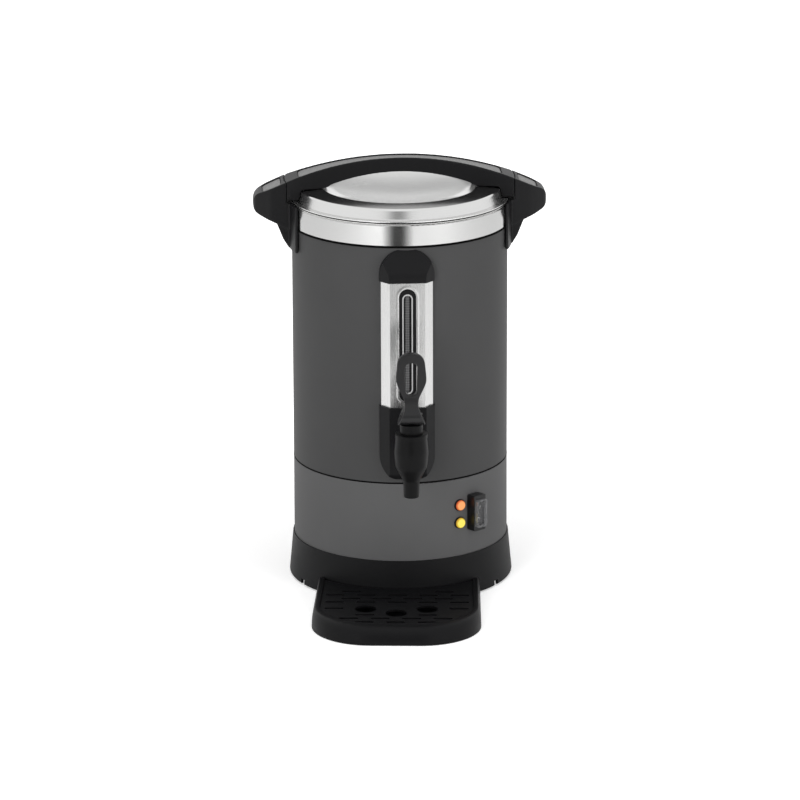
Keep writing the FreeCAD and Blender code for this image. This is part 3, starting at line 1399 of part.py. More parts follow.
def make_tray():
    """Drip tray with its tongue, and the grille that lies in it."""
    low = d.tray_lift
    height = d.tray_height - low
    front = base_radius + d.tray_front
    front_top = front - d.tray_slope
    back = base_radius * 0.55
    taper = d.tray_taper
    half = d.tray_half_width
    body = new_body("drip_tray", turn=tray_turn)
    sections = []
    for step in range(5):
        angle = step * math.pi / 8
        inset = d.tray_slope * (1 - math.cos(angle))
        draw_in = d.tray_taper * (1 - math.cos(angle))
        section = new_sketch(body, "XY_Plane", low + height * math.sin(angle))
        draw_outline(section, tray_outline(half - draw_in, half - taper - draw_in, front - inset, back,
                                           d.tray_corner - inset * 0.4))
        sections.append(section)
    loft = body.newObject("PartDesign::AdditiveLoft", "drip_tray_loft")
    loft.Profile = sections[0]
    loft.Sections = sections[1:]
    loft.Ruled = True
    rim_in = d.tray_rim
    ledge = d.tray_height - d.grille_drop - d.grille_wall
    seat = tray_outline(half - taper - rim_in, half - 2 * taper - rim_in, front_top - rim_in, back - 5,
                        d.tray_corner - 8 - rim_in)
    cut(body, [seat], 30, offset=ledge)
    basin_in = rim_in + d.grille_ledge
    basin = tray_outline(half - taper - basin_in, half - 2 * taper - basin_in, front_top - basin_in,
                         base_radius + 6, d.tray_corner - 8 - basin_in)
    cut(body, [basin], 30, offset=low + d.tray_floor)
    clear = base_radius + d.tray_gap
    cut(body, [(0, 0, clear)], 40, offset=-5)
    extrude(body, [rectangle(-d.tongue_half_width, -clear - 6, d.tongue_half_width, -clear + 24)],
            d.tongue_height, offset=low + 1)
    keep("drip_tray", body)

    fit = d.grille_fit
    plate_in = rim_in + fit
    body = new_body("drip_grille", turn=tray_turn)
    plate = tray_outline(half - taper - plate_in, half - 2 * taper - plate_in, front_top - plate_in,
                         back - 5, d.tray_corner - 8 - plate_in)
    extrude(body, [plate], d.grille_wall, offset=ledge)
    cut(body, [(0, 0, clear + 1)], 40, offset=-5)
    for behind, count, skip in grille_rows():
        for place in row_places(count, skip):
            cut(body, [slot(place, behind - front_top, d.slot_length, d.slot_width)], 10, offset=ledge - 2)
    cup_row = d.first_row + d.row_pitch * 2.5
    cups = [(d.cup_hole_pitch * place, cup_row + behind - front_top, d.cup_hole_radius)
            for place, behind in ((-1, 13), (0, 0), (1, 13))]
    cut(body, cups, 10, offset=ledge - 2)
    keep("drip_grille", body)


def tray_outline(half_front, half_back, front, back, corner):
    """A tray's plan: wider at its rounded front than at its back."""
    return [(-half_back, -back), (-half_front, -front, corner),
            (half_front, -front, corner), (half_back, -back)]


def grille_rows():
    """Each row's distance behind the grille's front edge, its slots, and how many middle ones it skips."""
    before_cups = [(0, 3, 0), (1, 4, 0), (2, 3, 1)]
    beside_cups = [(3.8, 5, 3)]
    behind_cups = [(5.6, 5, 0), (6.6, 4, 0), (7.6, 5, 0), (8.6, 4, 2)]
    rows = before_cups + beside_cups + behind_cups
    return [(d.first_row + d.row_pitch * step, count, skip) for step, count, skip in rows]


def row_places(count, skip):
    """Centres of a row's slots, evenly spaced about the middle."""
    places = [d.slot_pitch * (index - (count - 1) / 2) for index in range(count)]
    first = (count - skip) // 2
    return places[:first] + places[first + skip:]


def write_parts():
    """Checks every object of the document and writes each node's file."""
    doc.recompute()
    for thing in doc.Objects:
        if "Invalid" in thing.State or "Error" in thing.State:
            raise RuntimeError(f"{thing.Name} is {thing.State}")
    os.makedirs("parts", exist_ok=True)
    for name, thing in nodes.items():
        shape = thing.Shape
        if shape.isNull() or not shape.isValid() or not shape.Solids:
            raise RuntimeError(f"{name} has no valid shape")
        box = shape.BoundBox
        print(f"{name}: {len(shape.Solids)} solids, {shape.Volume / 1000:.2f} cm3, "
              f"z {box.ZMin:.1f} to {box.ZMax:.1f}")
        shape.exportStep(f"parts/{name}.step")


make_base()
make_shells()
make_tank()
make_inlet()
make_lamps()
make_switch()
make_gauge()
make_tap()
make_lever()
make_lid()
make_handles()
make_percolator()
make_tray()
write_parts()
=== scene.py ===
import math

import bpy
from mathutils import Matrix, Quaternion, Vector


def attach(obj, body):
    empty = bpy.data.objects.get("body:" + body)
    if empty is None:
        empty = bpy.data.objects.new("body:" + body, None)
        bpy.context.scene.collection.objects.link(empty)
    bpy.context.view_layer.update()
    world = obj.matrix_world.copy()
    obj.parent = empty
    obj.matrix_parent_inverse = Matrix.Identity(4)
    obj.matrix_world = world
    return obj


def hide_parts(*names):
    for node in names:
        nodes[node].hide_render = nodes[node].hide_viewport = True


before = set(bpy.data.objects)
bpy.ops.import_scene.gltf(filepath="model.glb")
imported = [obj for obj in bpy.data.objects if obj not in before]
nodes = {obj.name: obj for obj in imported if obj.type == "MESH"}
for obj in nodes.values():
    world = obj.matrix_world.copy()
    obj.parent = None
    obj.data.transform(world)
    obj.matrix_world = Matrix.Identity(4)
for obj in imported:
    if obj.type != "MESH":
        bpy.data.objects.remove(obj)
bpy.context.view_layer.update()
bpy.ops.object.select_all(action="DESELECT")

# Camera
# It stands 4.9 m in front of the urn and looks down on it through a long lens. The urn is
# turned a little away from it, so the camera stands to the left of the urn's own front.

camera_turn = math.radians(3.6)
camera_pitch = 0.2861
camera_roll = -0.0033
camera_distance = 4.8589
camera_aside = -0.0002
camera_height = 1.6153
sensor_width = 36.0
lens_over_frame = 4827.3 / 800

camera_data = bpy.data.cameras.new("camera")
camera_data.sensor_width = sensor_width
camera_data.lens = sensor_width * lens_over_frame
camera_data.clip_end = 50
camera = bpy.data.objects.new("camera", camera_data)
bpy.context.scene.collection.objects.link(camera)
facing = Quaternion((0, 0, 1), -camera_turn)
camera.location = facing @ Vector((camera_aside, -camera_distance, camera_height))
camera.rotation_mode = "QUATERNION"
camera.rotation_quaternion = (facing @ Quaternion((1, 0, 0), math.pi / 2 - camera_pitch)
                              @ Quaternion((0, 0, 1), camera_roll))
bpy.context.scene.camera = camera

# Studio
# A white floor in a white room, two tall soft boxes in front and one overhead. A dark card in
# the gap between the boxes gives the bright steel its streak; a grey one hangs behind the urn.

room_light = 0.34
floor_colour = (0.86, 0.86, 0.86, 1)
near_glow, far_glow = 0.45, 1.0
near_shine, far_shine = 0.10, 0.50
glow_starts, glow_ends = 0.20, 0.55


class Signal:
    """A shader socket that takes part in arithmetic."""

    def __init__(self, finish, socket):
        self.finish = finish
        self.socket = socket

    def math(self, operation, *values):
        """A math node with the values on its sockets."""
        return self.finish.node("ShaderNodeMath", {"operation": operation}, dict(enumerate(values)))

    def __add__(self, other):
        return self.math("ADD", self, other)

    def __sub__(self, other):
        return self.math("SUBTRACT", self, other)

    def __rsub__(self, other):
        return self.math("SUBTRACT", other, self)

    def __mul__(self, other):
        return self.math("MULTIPLY", self, other)

    def __truediv__(self, other):
        return self.math("DIVIDE", self, other)

    def __pow__(self, other):
        return self.math("POWER", self, other)

    __radd__ = __add__
    __rmul__ = __mul__


class Finish:
    """A material put together from nodes; constants go straight onto the shader's sockets."""

    def __init__(self, name, **constants):
        self.material = bpy.data.materials.new(name)
        self.material.use_nodes = True
        self.tree = self.material.node_tree
        self.shader = self.tree.nodes["Principled BSDF"]
        for socket, value in constants.items():
            self.shader.inputs[socket.replace("_", " ")].default_value = value

    def node(self, kind, settings=None, inputs=None, output=0):
        """Adds a node, sets it up and gives one of its outputs."""
        made = self.tree.nodes.new(kind)
        for setting, value in (settings or {}).items():
            setattr(made, setting, value)
        for key, value in (inputs or {}).items():
            if isinstance(value, Signal):
                self.tree.links.new(value.socket, made.inputs[key])
            else:
                made.inputs[key].default_value = value
        return Signal(self, made.outputs[output])

    def feed(self, **signals):
        """Links signals to the shader."""
        for socket, signal in signals.items():
            self.tree.links.new(signal.socket, self.shader.inputs[socket.replace("_", " ")])

    def point(self, stretch=(1, 1, 1)):
        """The point on the surface in the urn's own frame, stretched along its axes."""
        return self.node("ShaderNodeMapping", inputs={
            "Vector": self.node("ShaderNodeTexCoord", output="Object"), "Scale": stretch})

    def noise(self, scale, stretch=(1, 1, 1)):
        """A cloudy pattern from 0 to 1, finer with a larger scale."""
        return self.node("ShaderNodeTexNoise", inputs={
            "Vector": self.point(stretch), "Scale": scale, "Detail": 3.0})

    def bump(self, height, strength, distance):
        """Small relief for the shader's normal."""
        return self.node("ShaderNodeBump", inputs={
            "Strength": strength, "Distance": distance, "Height": height})

    def blend(self, factor, first, second):
        """Passes from the first colour to the second."""
        return self.node("ShaderNodeMix", {"data_type": "RGBA"}, {
            "Factor": factor, 6: first, 7: second}, output=2)

    def part(self, axis):
        """One coordinate of the surface's point, in metres."""
        return self.node("ShaderNodeSeparateXYZ", inputs={
            "Vector": self.node("ShaderNodeTexCoord", output="Object")}, output=axis)

    def between(self, value, low, high):
        """Rises smoothly from 0 at low to 1 at high."""
        return self.node("ShaderNodeMapRange", {"interpolation_type": "SMOOTHSTEP"}, {
            0: value, 1: low, 2: high})


world = bpy.data.worlds.new("room")
bpy.context.scene.world = world
world.use_nodes = True
links = world.node_tree.links
background = world.node_tree.nodes["Background"]
background.inputs["Color"].default_value = (1, 1, 1, 1)
path = world.node_tree.nodes.new("ShaderNodeLightPath")


def world_math(operation, first, second):
    """A math node in the room's own shader."""
    made = world.node_tree.nodes.new("ShaderNodeMath")
    made.operation = operation
    for socket, value in zip(made.inputs, (first, second)):
        if isinstance(value, (int, float)):
            socket.default_value = value
        else:
            links.new(value, socket)
    return made.outputs[0]


seen = world_math("MAXIMUM", path.outputs["Is Camera Ray"], path.outputs["Is Glossy Ray"])
seen = world_math("MAXIMUM", seen, path.outputs["Is Transmission Ray"])
links.new(world_math("ADD", world_math("MULTIPLY", seen, 1 - room_light), room_light),
          background.inputs["Strength"])

bpy.ops.mesh.primitive_plane_add(size=24)
floor = bpy.context.object
floor.name = "floor"
floor_paint = Finish("floor_paint", Base_Color=floor_colour, Roughness=0.9, Specular_IOR_Level=0.0,
                     Emission_Strength=1.0)
away = floor_paint.part("X") * floor_paint.part("X") + floor_paint.part("Y") * floor_paint.part("Y")
glow = floor_paint.between(away ** 0.5, glow_starts, glow_ends)
seen_directly = floor_paint.node("ShaderNodeLightPath", output="Is Camera Ray")
mirrored_glow = near_shine + (far_shine - near_shine) * glow
direct_glow = near_glow + (far_glow - near_glow) * glow
shown_glow = mirrored_glow + seen_directly * (direct_glow - mirrored_glow)
floor_paint.feed(Emission_Color=floor_paint.blend(shown_glow, (0, 0, 0, 1), (1, 1, 1, 1)))
floor.data.materials.append(floor_paint.material)


def soft_box(name, place, aim, width, height, power):
    """A soft rectangular light that shows in no reflection."""
    data = bpy.data.lights.new(name, "AREA")
    data.shape = "RECTANGLE"
    data.size = width
    data.size_y = height
    data.energy = power
    light = bpy.data.objects.new(name, data)
    bpy.context.scene.collection.objects.link(light)
    light.location = place
    light.rotation_euler = (Vector(aim) - Vector(place)).to_track_quat("-Z", "Y").to_euler()
    light.visible_glossy = False


soft_box("left_box", (-1.1, -2.4, 1.0), (0, 0, 0.25), width=0.8, height=1.8, power=29)
soft_box("right_box", (1.6, -1.9, 1.0), (0, 0, 0.25), width=0.9, height=1.8, power=17)
soft_box("top_box", (0, -0.3, 2.4), (0, 0, 0.2), width=2.2, height=2.0, power=26)


def card(name, place, width, height, low_tone, high_tone, soft_edge, round_card=False):
    """An upright card that only shows in polished metal. Its tone changes from its lower to its
    upper edge, and it fades into the white room at its sides, or all round."""
    bpy.ops.mesh.primitive_plane_add(size=1)
    made = bpy.context.object
    made.name = name
    made.scale = (width, height, 1)
    made.rotation_euler = (math.pi / 2, 0, -camera_turn)
    made.location = facing @ Vector(place)
    made.visible_camera = False
    made.visible_diffuse = False
    made.visible_shadow = False
    made.visible_transmission = False
    cloth = Finish(name, Base_Color=(0, 0, 0, 1), Roughness=1.0, Specular_IOR_Level=0.0,
                   Emission_Strength=1.0)
    aside, above = cloth.part("X") * 2, cloth.part("Y") * 2
    off = aside.math("ABSOLUTE", aside)
    if round_card:
        off = (aside * aside + above * above) ** 0.5
    tone = low_tone + (high_tone - low_tone) * cloth.between(above, -0.6, 0.4)
    fade = cloth.between(off, 1 - soft_edge, 0.98)
    cloth.feed(Emission_Color=cloth.blend(tone + fade * (1 - tone), (0, 0, 0, 1), (1, 1, 1, 1)))
    made.data.materials.append(cloth.material)


card("gap_between_boxes", (-0.03, -1.0, 0.46), width=0.50, height=0.91,
     low_tone=0.04, high_tone=0.20, soft_edge=0.72)
card("grey_card", (0.0, 1.20, 0.84), width=0.66, height=0.40,
     low_tone=0.36, high_tone=0.42, soft_edge=0.45, round_card=True)

# Base ring
# The black foot ring is moulded in polypropylene, with a fine spark-eroded grain. It stands on
# four rubber feet, and the zinc-plated bottom plate is screwed up into it.


def paint(node, finish):
    """Gives a node's object, or a piece, a finish in place of the one that it has."""
    thing = nodes[node] if isinstance(node, str) else node
    thing.data.materials.clear()
    thing.data.materials.append(finish.material)


moulded = Finish("moulded_black", Base_Color=(0.0055, 0.0055, 0.006, 1), Roughness=0.42,
                 Specular_IOR_Level=0.15)
grain = moulded.noise(1700)
rub = moulded.noise(35)
moulded.feed(Roughness=0.36 + 0.10 * grain + 0.10 * rub, Normal=moulded.bump(grain, 0.25, 0.00015))
paint("base_ring", moulded)

rubber = Finish("rubber", Base_Color=(0.012, 0.012, 0.012, 1), Roughness=0.75, Specular_IOR_Level=0.25)
dust = rubber.noise(260)
rubber.feed(Roughness=0.66 + 0.2 * dust, Normal=rubber.bump(dust, 0.2, 0.0002))
for node in ("rubber_feet", "lid_seal", "gauge_seals", "tap_washers", "seat_cup"):
    paint(node, rubber)

zinc = Finish("zinc_plate", Metallic=1.0, Roughness=0.4, Base_Color=(0.55, 0.55, 0.56, 1))
spangle = zinc.node("ShaderNodeTexVoronoi", inputs={"Vector": zinc.point(), "Scale": 190.0})
zinc.feed(Base_Color=zinc.blend(spangle, (0.42, 0.43, 0.45, 1), (0.66, 0.66, 0.66, 1)),
          Roughness=0.3 + 0.25 * spangle)
for node in ("bottom_plate", "bottom_screws", "strap_studs", "strap_nuts", "tie_rods", "tie_nuts",
             "sensor_strap", "switch_terminals"):
    paint(node, zinc)

# Shells
# The two outer shells are rolled and deep drawn steel with a dark grey satin powder coat, whose
# fine orange peel breaks the sheen. The lower one is a shade lighter.

shell_tone = {"upper_shell": ((0.054, 0.054, 0.0545, 1), (0.062, 0.062, 0.0625, 1)),
              "lower_shell": ((0.092, 0.092, 0.093, 1), (0.104, 0.104, 0.105, 1))}
for node, (darker, lighter) in shell_tone.items():
    coat = Finish(node + "_coat", Roughness=0.5, Specular_IOR_Level=0.10)
    peel = coat.noise(1100)
    cloud = coat.noise(14)
    coat.feed(Base_Color=coat.blend(cloud, darker, lighter), Roughness=0.46 + 0.10 * peel,
              Normal=coat.bump(peel, 0.10, 0.0002))
    paint(node, coat)

# Seam shadows
# Two black rings paint the shadow that lies in the seam under the steel collar and in the seam
# between the two shells. Each is shaped as a soft rubber strip, closed into a ring and pressed into its
# seam.

mm = 0.001
# Painted shadow: each ring is a black, flattened torus that stands in for the shade in its seam.
seam_shadows = {"collar_seam_shadow": (112.5, 380.8, 1.45), "shell_seam_shadow": (110.95, 129.3, 1.25)}
shadow_flatness = 0.9
seam_shadow_black = Finish("seam_shadow_black", Base_Color=(0.001, 0.001, 0.001, 1), Roughness=0.8,
                    Specular_IOR_Level=0.05)
dust = seam_shadow_black.noise(260)
seam_shadow_black.feed(Roughness=0.7 + 0.2 * dust)


def lay_down():
    """Leaves edit mode and puts down whatever is selected."""
    if bpy.context.mode != "OBJECT":
        bpy.ops.object.mode_set(mode="OBJECT")
    bpy.ops.object.select_all(action="DESELECT")


def take_up(piece):
    """Selects one piece alone, in object mode."""
    lay_down()
    piece.select_set(True)
    bpy.context.view_layer.objects.active = piece


def fresh(kind, name, **settings):
    """Adds a primitive with nothing else selected, and opens it in edit mode."""
    lay_down()
    getattr(bpy.ops.mesh, f"primitive_{kind}_add")(**settings)
    bpy.ops.object.transform_apply(location=True, rotation=True, scale=True)
    piece = bpy.context.object
    piece.name = name
    bpy.ops.object.mode_set(mode="EDIT")
    return piece


def fit(piece, body, slot, finish, *stands_for, smooth=35):
    """Shades a piece, gives it its finish and sets it on its body."""
    take_up(piece)
    bpy.ops.object.shade_smooth_by_angle(angle=math.radians(smooth))
    paint(piece, finish)
    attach(piece, body)
    if stands_for:
        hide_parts(*stands_for)


for name, (radius, shadow_level, half_width) in seam_shadows.items():
    shadow_ring = fresh("torus", name, major_radius=radius * mm, minor_radius=half_width * mm,
                       major_segments=192, minor_segments=12, location=(0, 0, shadow_level * mm))
    bpy.ops.mesh.select_all(action="SELECT")
    bpy.ops.transform.resize(value=(1, 1, shadow_flatness), center_override=(0, 0, shadow_level * mm))
    fit(shadow_ring, "root", "seal_rubber", seam_shadow_black)

# Tank, heater and percolator
# The tank is drawn in stainless steel, polished inside. A cast aluminium plate with a tubular
# element is clamped under it; the riser, basket and cover that stand in it are thin stainless.

tank_steel = Finish("tank_steel", Metallic=1.0, Roughness=0.2, Base_Color=(0.68, 0.68, 0.67, 1))
swirl = tank_steel.noise(1.0, (90, 90, 1500))
stain = tank_steel.noise(30)
tank_steel.feed(Roughness=0.16 + 0.12 * swirl + 0.10 * stain, Normal=tank_steel.bump(swirl, 0.06, 0.0001))
for node in ("inner_tank", "riser_tube", "filter_basket", "basket_cover", "pump_foot"):
    paint(node, tank_steel)

cast = Finish("cast_aluminium", Metallic=1.0, Roughness=0.5, Base_Color=(0.56, 0.56, 0.55, 1))
sand = cast.noise(600)
cast.feed(Roughness=0.42 + 0.25 * sand, Normal=cast.bump(sand, 0.5, 0.0003))
paint("heater_plate", cast)
paint("heating_element", cast)

spring_steel = Finish("spring_steel", Metallic=1.0, Roughness=0.28, Base_Color=(0.5, 0.5, 0.5, 1))
drawn = spring_steel.noise(800)
spring_steel.feed(Roughness=0.22 + 0.12 * drawn)
paint("valve_spring", spring_steel)
for node in ("thermostat", "thermal_cutout", "terminal_block", "cable_gland", "gland_nut", "lamp_nuts"):
    paint(node, moulded)

# Steel collar
# A band of brushed stainless steel closes the upper shell and carries the tank's rim. Its
# grinding lines run round it, so that reflections smear upright.

trim = Finish("trim_steel", Metallic=1.0, Roughness=0.15, Base_Color=(0.64, 0.64, 0.635, 1))
lines = trim.noise(1.0, (25, 25, 2600))
fine = trim.noise(1.0, (120, 120, 7000))
trim.feed(Roughness=0.11 + 0.08 * lines, Normal=trim.bump(lines + 0.5 * fine, 0.10, 0.00006),
          Base_Color=trim.blend(fine, (0.52, 0.52, 0.515, 1), (0.60, 0.60, 0.595, 1)))
paint("steel_collar", trim)

# Lid pan
# The lid is spun from stainless steel: a turned-out edge, a leaning wall that is ground upright,
# a ring that falls outwards a little, and a polished dish that sends drips back to the middle.

lid_steel = Finish("lid_steel", Metallic=1.0, Roughness=0.1, Base_Color=(0.73, 0.73, 0.725, 1))
out_squared = lid_steel.part("X") * lid_steel.part("X") + lid_steel.part("Y") * lid_steel.part("Y")
rings = lid_steel.node("ShaderNodeTexNoise", inputs={
    "Vector": lid_steel.node("ShaderNodeCombineXYZ", inputs={"X": out_squared ** 0.5}), "Scale": 1900.0})
grinding = lid_steel.noise(1.0, (2400, 2400, 30))
on_wall = lid_steel.between(lid_steel.part("Z"), 0.4172, 0.4160)
smear = lid_steel.noise(28)
brushed = on_wall * grinding + (1 - on_wall) * 0.35 * rings
lid_steel.feed(Roughness=0.07 + 0.06 * smear + 0.13 * on_wall + 0.05 * brushed,
               Normal=lid_steel.bump(brushed, 0.12, 0.00005))


def close_up():
    """Merges doubled vertices and turns all faces outwards."""
    bpy.ops.mesh.select_all(action="SELECT")
    bpy.ops.mesh.remove_doubles(threshold=mm / 1000)
    bpy.ops.mesh.normals_make_consistent(inside=False)


def worked(piece, kind, **settings):
    """Adds a modifier to a piece and applies it."""
    take_up(piece)
    made = piece.modifiers.new(kind.lower(), kind)
    for setting, value in settings.items():
        setattr(made, setting, value)
    bpy.ops.object.modifier_apply(modifier=made.name)


def rounded(corners, steps=6, closed=False):
    """The points of an outline; a corner with a third number is an arc of that radius."""
    points = []
    for index, (x, y, *radius) in enumerate(corners):
        inside = closed or 0 < index < len(corners) - 1
        if not radius or not inside:
            points.append((x, y))
            continue
        here = Vector((x, y))
        before = (Vector(corners[index - 1][:2]) - here).normalized()
        after = (Vector(corners[(index + 1) % len(corners)][:2]) - here).normalized()
        half_angle = before.angle(after) / 2
        centre = here + (before + after).normalized() * (radius[0] / math.sin(half_angle))
        start = here + before * (radius[0] / math.tan(half_angle)) - centre
        sweep = math.pi - 2 * half_angle
        side = 1 if before.x * after.y - before.y * after.x < 0 else -1
        for step in range(steps + 1):
            angle = side * sweep * step / steps
            points.append((centre.x + start.x * math.cos(angle) - start.y * math.sin(angle),
                           centre.y + start.x * math.sin(angle) + start.y * math.cos(angle)))
    return points


def trace(name, points):
    """Leaves one vertex of a small plane and extrudes it from point to point."""
    piece = fresh("plane", name, size=mm)
    bpy.ops.mesh.select_all(action="SELECT")
    bpy.ops.mesh.merge(type="CENTER")
    here = Vector((0, 0, 0))
    for index, point in enumerate(points):
        there = Vector(point) * mm
        if index:
            bpy.ops.mesh.extrude_vertices_move(TRANSFORM_OT_translate={"value": there - here})
        else:
            bpy.ops.transform.translate(value=there - here)
        here = there
    bpy.ops.mesh.select_all(action="SELECT")
    return piece


def turn(name, profile):
    """A turned or spun piece: its profile of radii and levels, spun about the upright axis."""
    piece = trace(name, [(radius, 0, level) for radius, level in profile])
    bpy.ops.mesh.spin(steps=192, angle=2 * math.pi, center=(0, 0, 0), axis=(0, 0, 1))
    close_up()
    return piece


sheet, dish_rim, lid_top, dish_low = 1.0, 81.7, 419.0, 411.0
crest_radius, crest_level = 103.6, 417.65
wall_foot, edge_level, edge_radius = 106.2, 407.25, 113.4
dish_steps, dish_part = 24, 0.94
dish_radius = (dish_rim ** 2 + (lid_top - dish_low) ** 2) / (2 * (lid_top - dish_low))
dish = [(radius, dish_low + dish_radius - math.sqrt(dish_radius ** 2 - radius ** 2))
        for radius in (dish_rim * dish_part * step / dish_steps for step in range(dish_steps + 1))]
pan_edge = rounded([
    dish[-1], (dish_rim, lid_top, 2.0), (dish_rim + 2.8, lid_top - 0.17),
    (crest_radius - 4, crest_level + 0.24), (crest_radius, crest_level, 2.6),
    (crest_radius + 1.3, edge_level + 4.85), (wall_foot - 0.5, edge_level + 1.85),
    (wall_foot, edge_level, 1.0), (wall_foot + 1.8, edge_level), (edge_radius, edge_level)], steps=12)
pan = turn("spun_lid", dish + pan_edge[1:])
worked(pan, "SOLIDIFY", thickness=sheet * mm, offset=-1, use_even_offset=True)
fit(pan, "lid", "lid_steel", lid_steel, "lid_pan")

# Lid bar
# The arched bar that lifts the lid is a glass-filled nylon moulding, screwed on from below. Its
# feet reach down over the lid's wall, and a soft stippled strip is let into its top.


def draw_out(value):
    """Extrudes what is selected."""
    bpy.ops.mesh.extrude_region_move(TRANSFORM_OT_translate={"value": value})


def prism(name, outline, axis, low, high):
    """A closed outline across one axis, drawn out along that axis."""
    places = {"X": lambda a, b: (low, a, b), "Y": lambda a, b: (a, low, b), "Z": lambda a, b: (a, b, low)}
    piece = trace(name, [places[axis](*point) for point in outline])
    bpy.ops.mesh.edge_face_add()
    draw_out(Vector([(high - low) * mm if letter == axis else 0 for letter in "XYZ"]))
    close_up()
    return piece


def combine(piece, tool, operation):
    """Cuts, joins or intersects a piece with a tool, which is then thrown away."""
    worked(piece, "BOOLEAN", object=tool, operation=operation, solver="EXACT")
    bpy.data.objects.remove(tool)


def arch(radius, crown, reach):
    """Points of an arch in x and z, from its left end to its right."""
    steps = 44
    places = [reach * (2 * step / steps - 1) for step in range(steps + 1)]
    return [(x, crown - radius + math.sqrt(radius ** 2 - x * x)) for x in places]


def eased(piece, voxel, passes):
    """Gives a moulding its soft edges: an even skin, then a few passes of smoothing."""
    worked(piece, "REMESH", mode="VOXEL", voxel_size=voxel * mm, use_smooth_shade=True)
    worked(piece, "SMOOTH", factor=0.5, iterations=passes)


def break_edges(piece, width, segments=2, sharper_than=50):
    """Gives a piece's sharp edges a small round."""
    worked(piece, "BEVEL", width=width * mm, segments=segments, limit_method="ANGLE",
           angle_limit=math.radians(sharper_than))


tool_half, tool_low, tool_high = 40, 380, 470
bar_crown, bar_radius, bar_reach = 449.5, 328.0, 119.2
under_crown, under_radius, under_reach = 434.8, 220.0, 68
bar_half, bar_plan_radius, bar_plan_steps = 10.5, 796.0, 24
foot_inner, foot_level, bar_fit = 78.7, 407.6, 0.35
strip_reach, strip_margin, strip_corner = 105.0, 3.2, 5.0
strip_depth, strip_gap, strip_sunk, strip_edge = 2.6, 0.5, 1.2, 0.35


def bar_plan(reach, margin):
    """The bar seen from above, narrow in the middle and wider towards its ends."""
    edge = [(x, bar_half - margin + bar_plan_radius - math.sqrt(bar_plan_radius ** 2 - x * x))
            for x in (reach * (2 * step / bar_plan_steps - 1) for step in range(bar_plan_steps + 1))]
    return edge + [(-x, -y) for x, y in edge]


def strip(name, grow, above):
    """The strip let into the bar's top; grown a little, it is the tool that cuts its recess."""
    top = arch(bar_radius, bar_crown + above, strip_reach + grow)
    low = arch(bar_radius, bar_crown - strip_depth - grow, strip_reach + grow)
    piece = prism(name, top + low[::-1], "Y", -tool_half, tool_half)
    reach, margin = strip_reach + grow, strip_margin - grow
    corners = [(x, y, strip_corner) if abs(abs(x) - reach) < 0.01 else (x, y)
               for x, y in bar_plan(reach, margin)]
    plan = prism(name + "_plan", rounded(corners, closed=True), "Z", tool_low, tool_high)
    combine(piece, plan, "INTERSECT")
    return piece


bar_end = bar_reach + 1.8
foot_side = [(foot_inner, foot_level), (foot_inner, 419.4), (74.5, 420.6), (72, 422.6)]
bar_side = (arch(bar_radius, bar_crown, bar_end)
            + [(bar_end, foot_level)] + foot_side
            + arch(under_radius, under_crown, under_reach)[::-1]
            + [(-x, z) for x, z in foot_side[::-1]] + [(-bar_end, foot_level)])
bar = prism("lid_bar", bar_side, "Y", -tool_half, tool_half)
combine(bar, prism("bar_plan", bar_plan(bar_end + 4, 0), "Z", tool_low, tool_high), "INTERSECT")
round_end = fresh("cylinder", "round_end", vertices=256, radius=bar_reach * mm, depth=200 * mm,
                  location=(0, 0, 430 * mm))
combine(bar, round_end, "INTERSECT")
lid_shape = turn("lid_shape", [
    (0, foot_level - 12.6), (bar_reach - 1.2, foot_level - 12.6), (bar_reach - 1.2, foot_level),
    (wall_foot + bar_fit, foot_level), (crest_radius + 0.3 + bar_fit, crest_level - 0.45),
    (crest_radius - 1.2, crest_level + 0.45 + bar_fit), (70, lid_top + 0.5 + bar_fit),
    (0, lid_top + 0.5 + bar_fit)])
combine(bar, lid_shape, "DIFFERENCE")
combine(bar, strip("strip_recess", strip_gap, 4), "DIFFERENCE")
eased(bar, 0.8, 5)

nylon = Finish("handle_nylon", Base_Color=(0.0055, 0.0055, 0.006, 1), Roughness=0.38,
               Specular_IOR_Level=0.19)
grain = nylon.noise(1500)
worn = nylon.noise(22)
nylon.feed(Roughness=0.30 + 0.10 * grain + 0.12 * worn, Normal=nylon.bump(grain, 0.30, 0.00015))
fit(bar, "lid", "handle_plastic", nylon, "lid_handle", smooth=60)

# Painted sheen: the grip strips are a lighter grey than their black rubber, standing in for the sheen they
# show at a grazing view; the dots between two greys are their real stipple.
grip_with_painted_sheen = Finish("grip_with_painted_sheen", Base_Color=(0.10, 0.10, 0.10, 1), Roughness=0.5, Specular_IOR_Level=0.5)
dots = grip_with_painted_sheen.node("ShaderNodeTexVoronoi", inputs={"Vector": grip_with_painted_sheen.point(), "Scale": 900.0})
patch = grip_with_painted_sheen.noise(60)
grip_with_painted_sheen.feed(Base_Color=grip_with_painted_sheen.blend(dots, (0.27, 0.27, 0.268, 1), (0.15, 0.15, 0.15, 1)),
               Roughness=0.42 + 0.2 * patch, Normal=grip_with_painted_sheen.bump(dots, 0.8, 0.0003))
lid_strip = strip("lid_strip", 0, -strip_sunk)
break_edges(lid_strip, strip_edge)
fit(lid_strip, "lid", "grip_plastic", grip_with_painted_sheen, "lid_grip_pad")
paint("lid_screws", zinc)

# Carrying handles
# A moulded grip stands out from each side on a webbed bracket, and a curved saddle plate spreads
# its load over the shell. The lid bar's line runs on over it, with a small grip strip of its own.

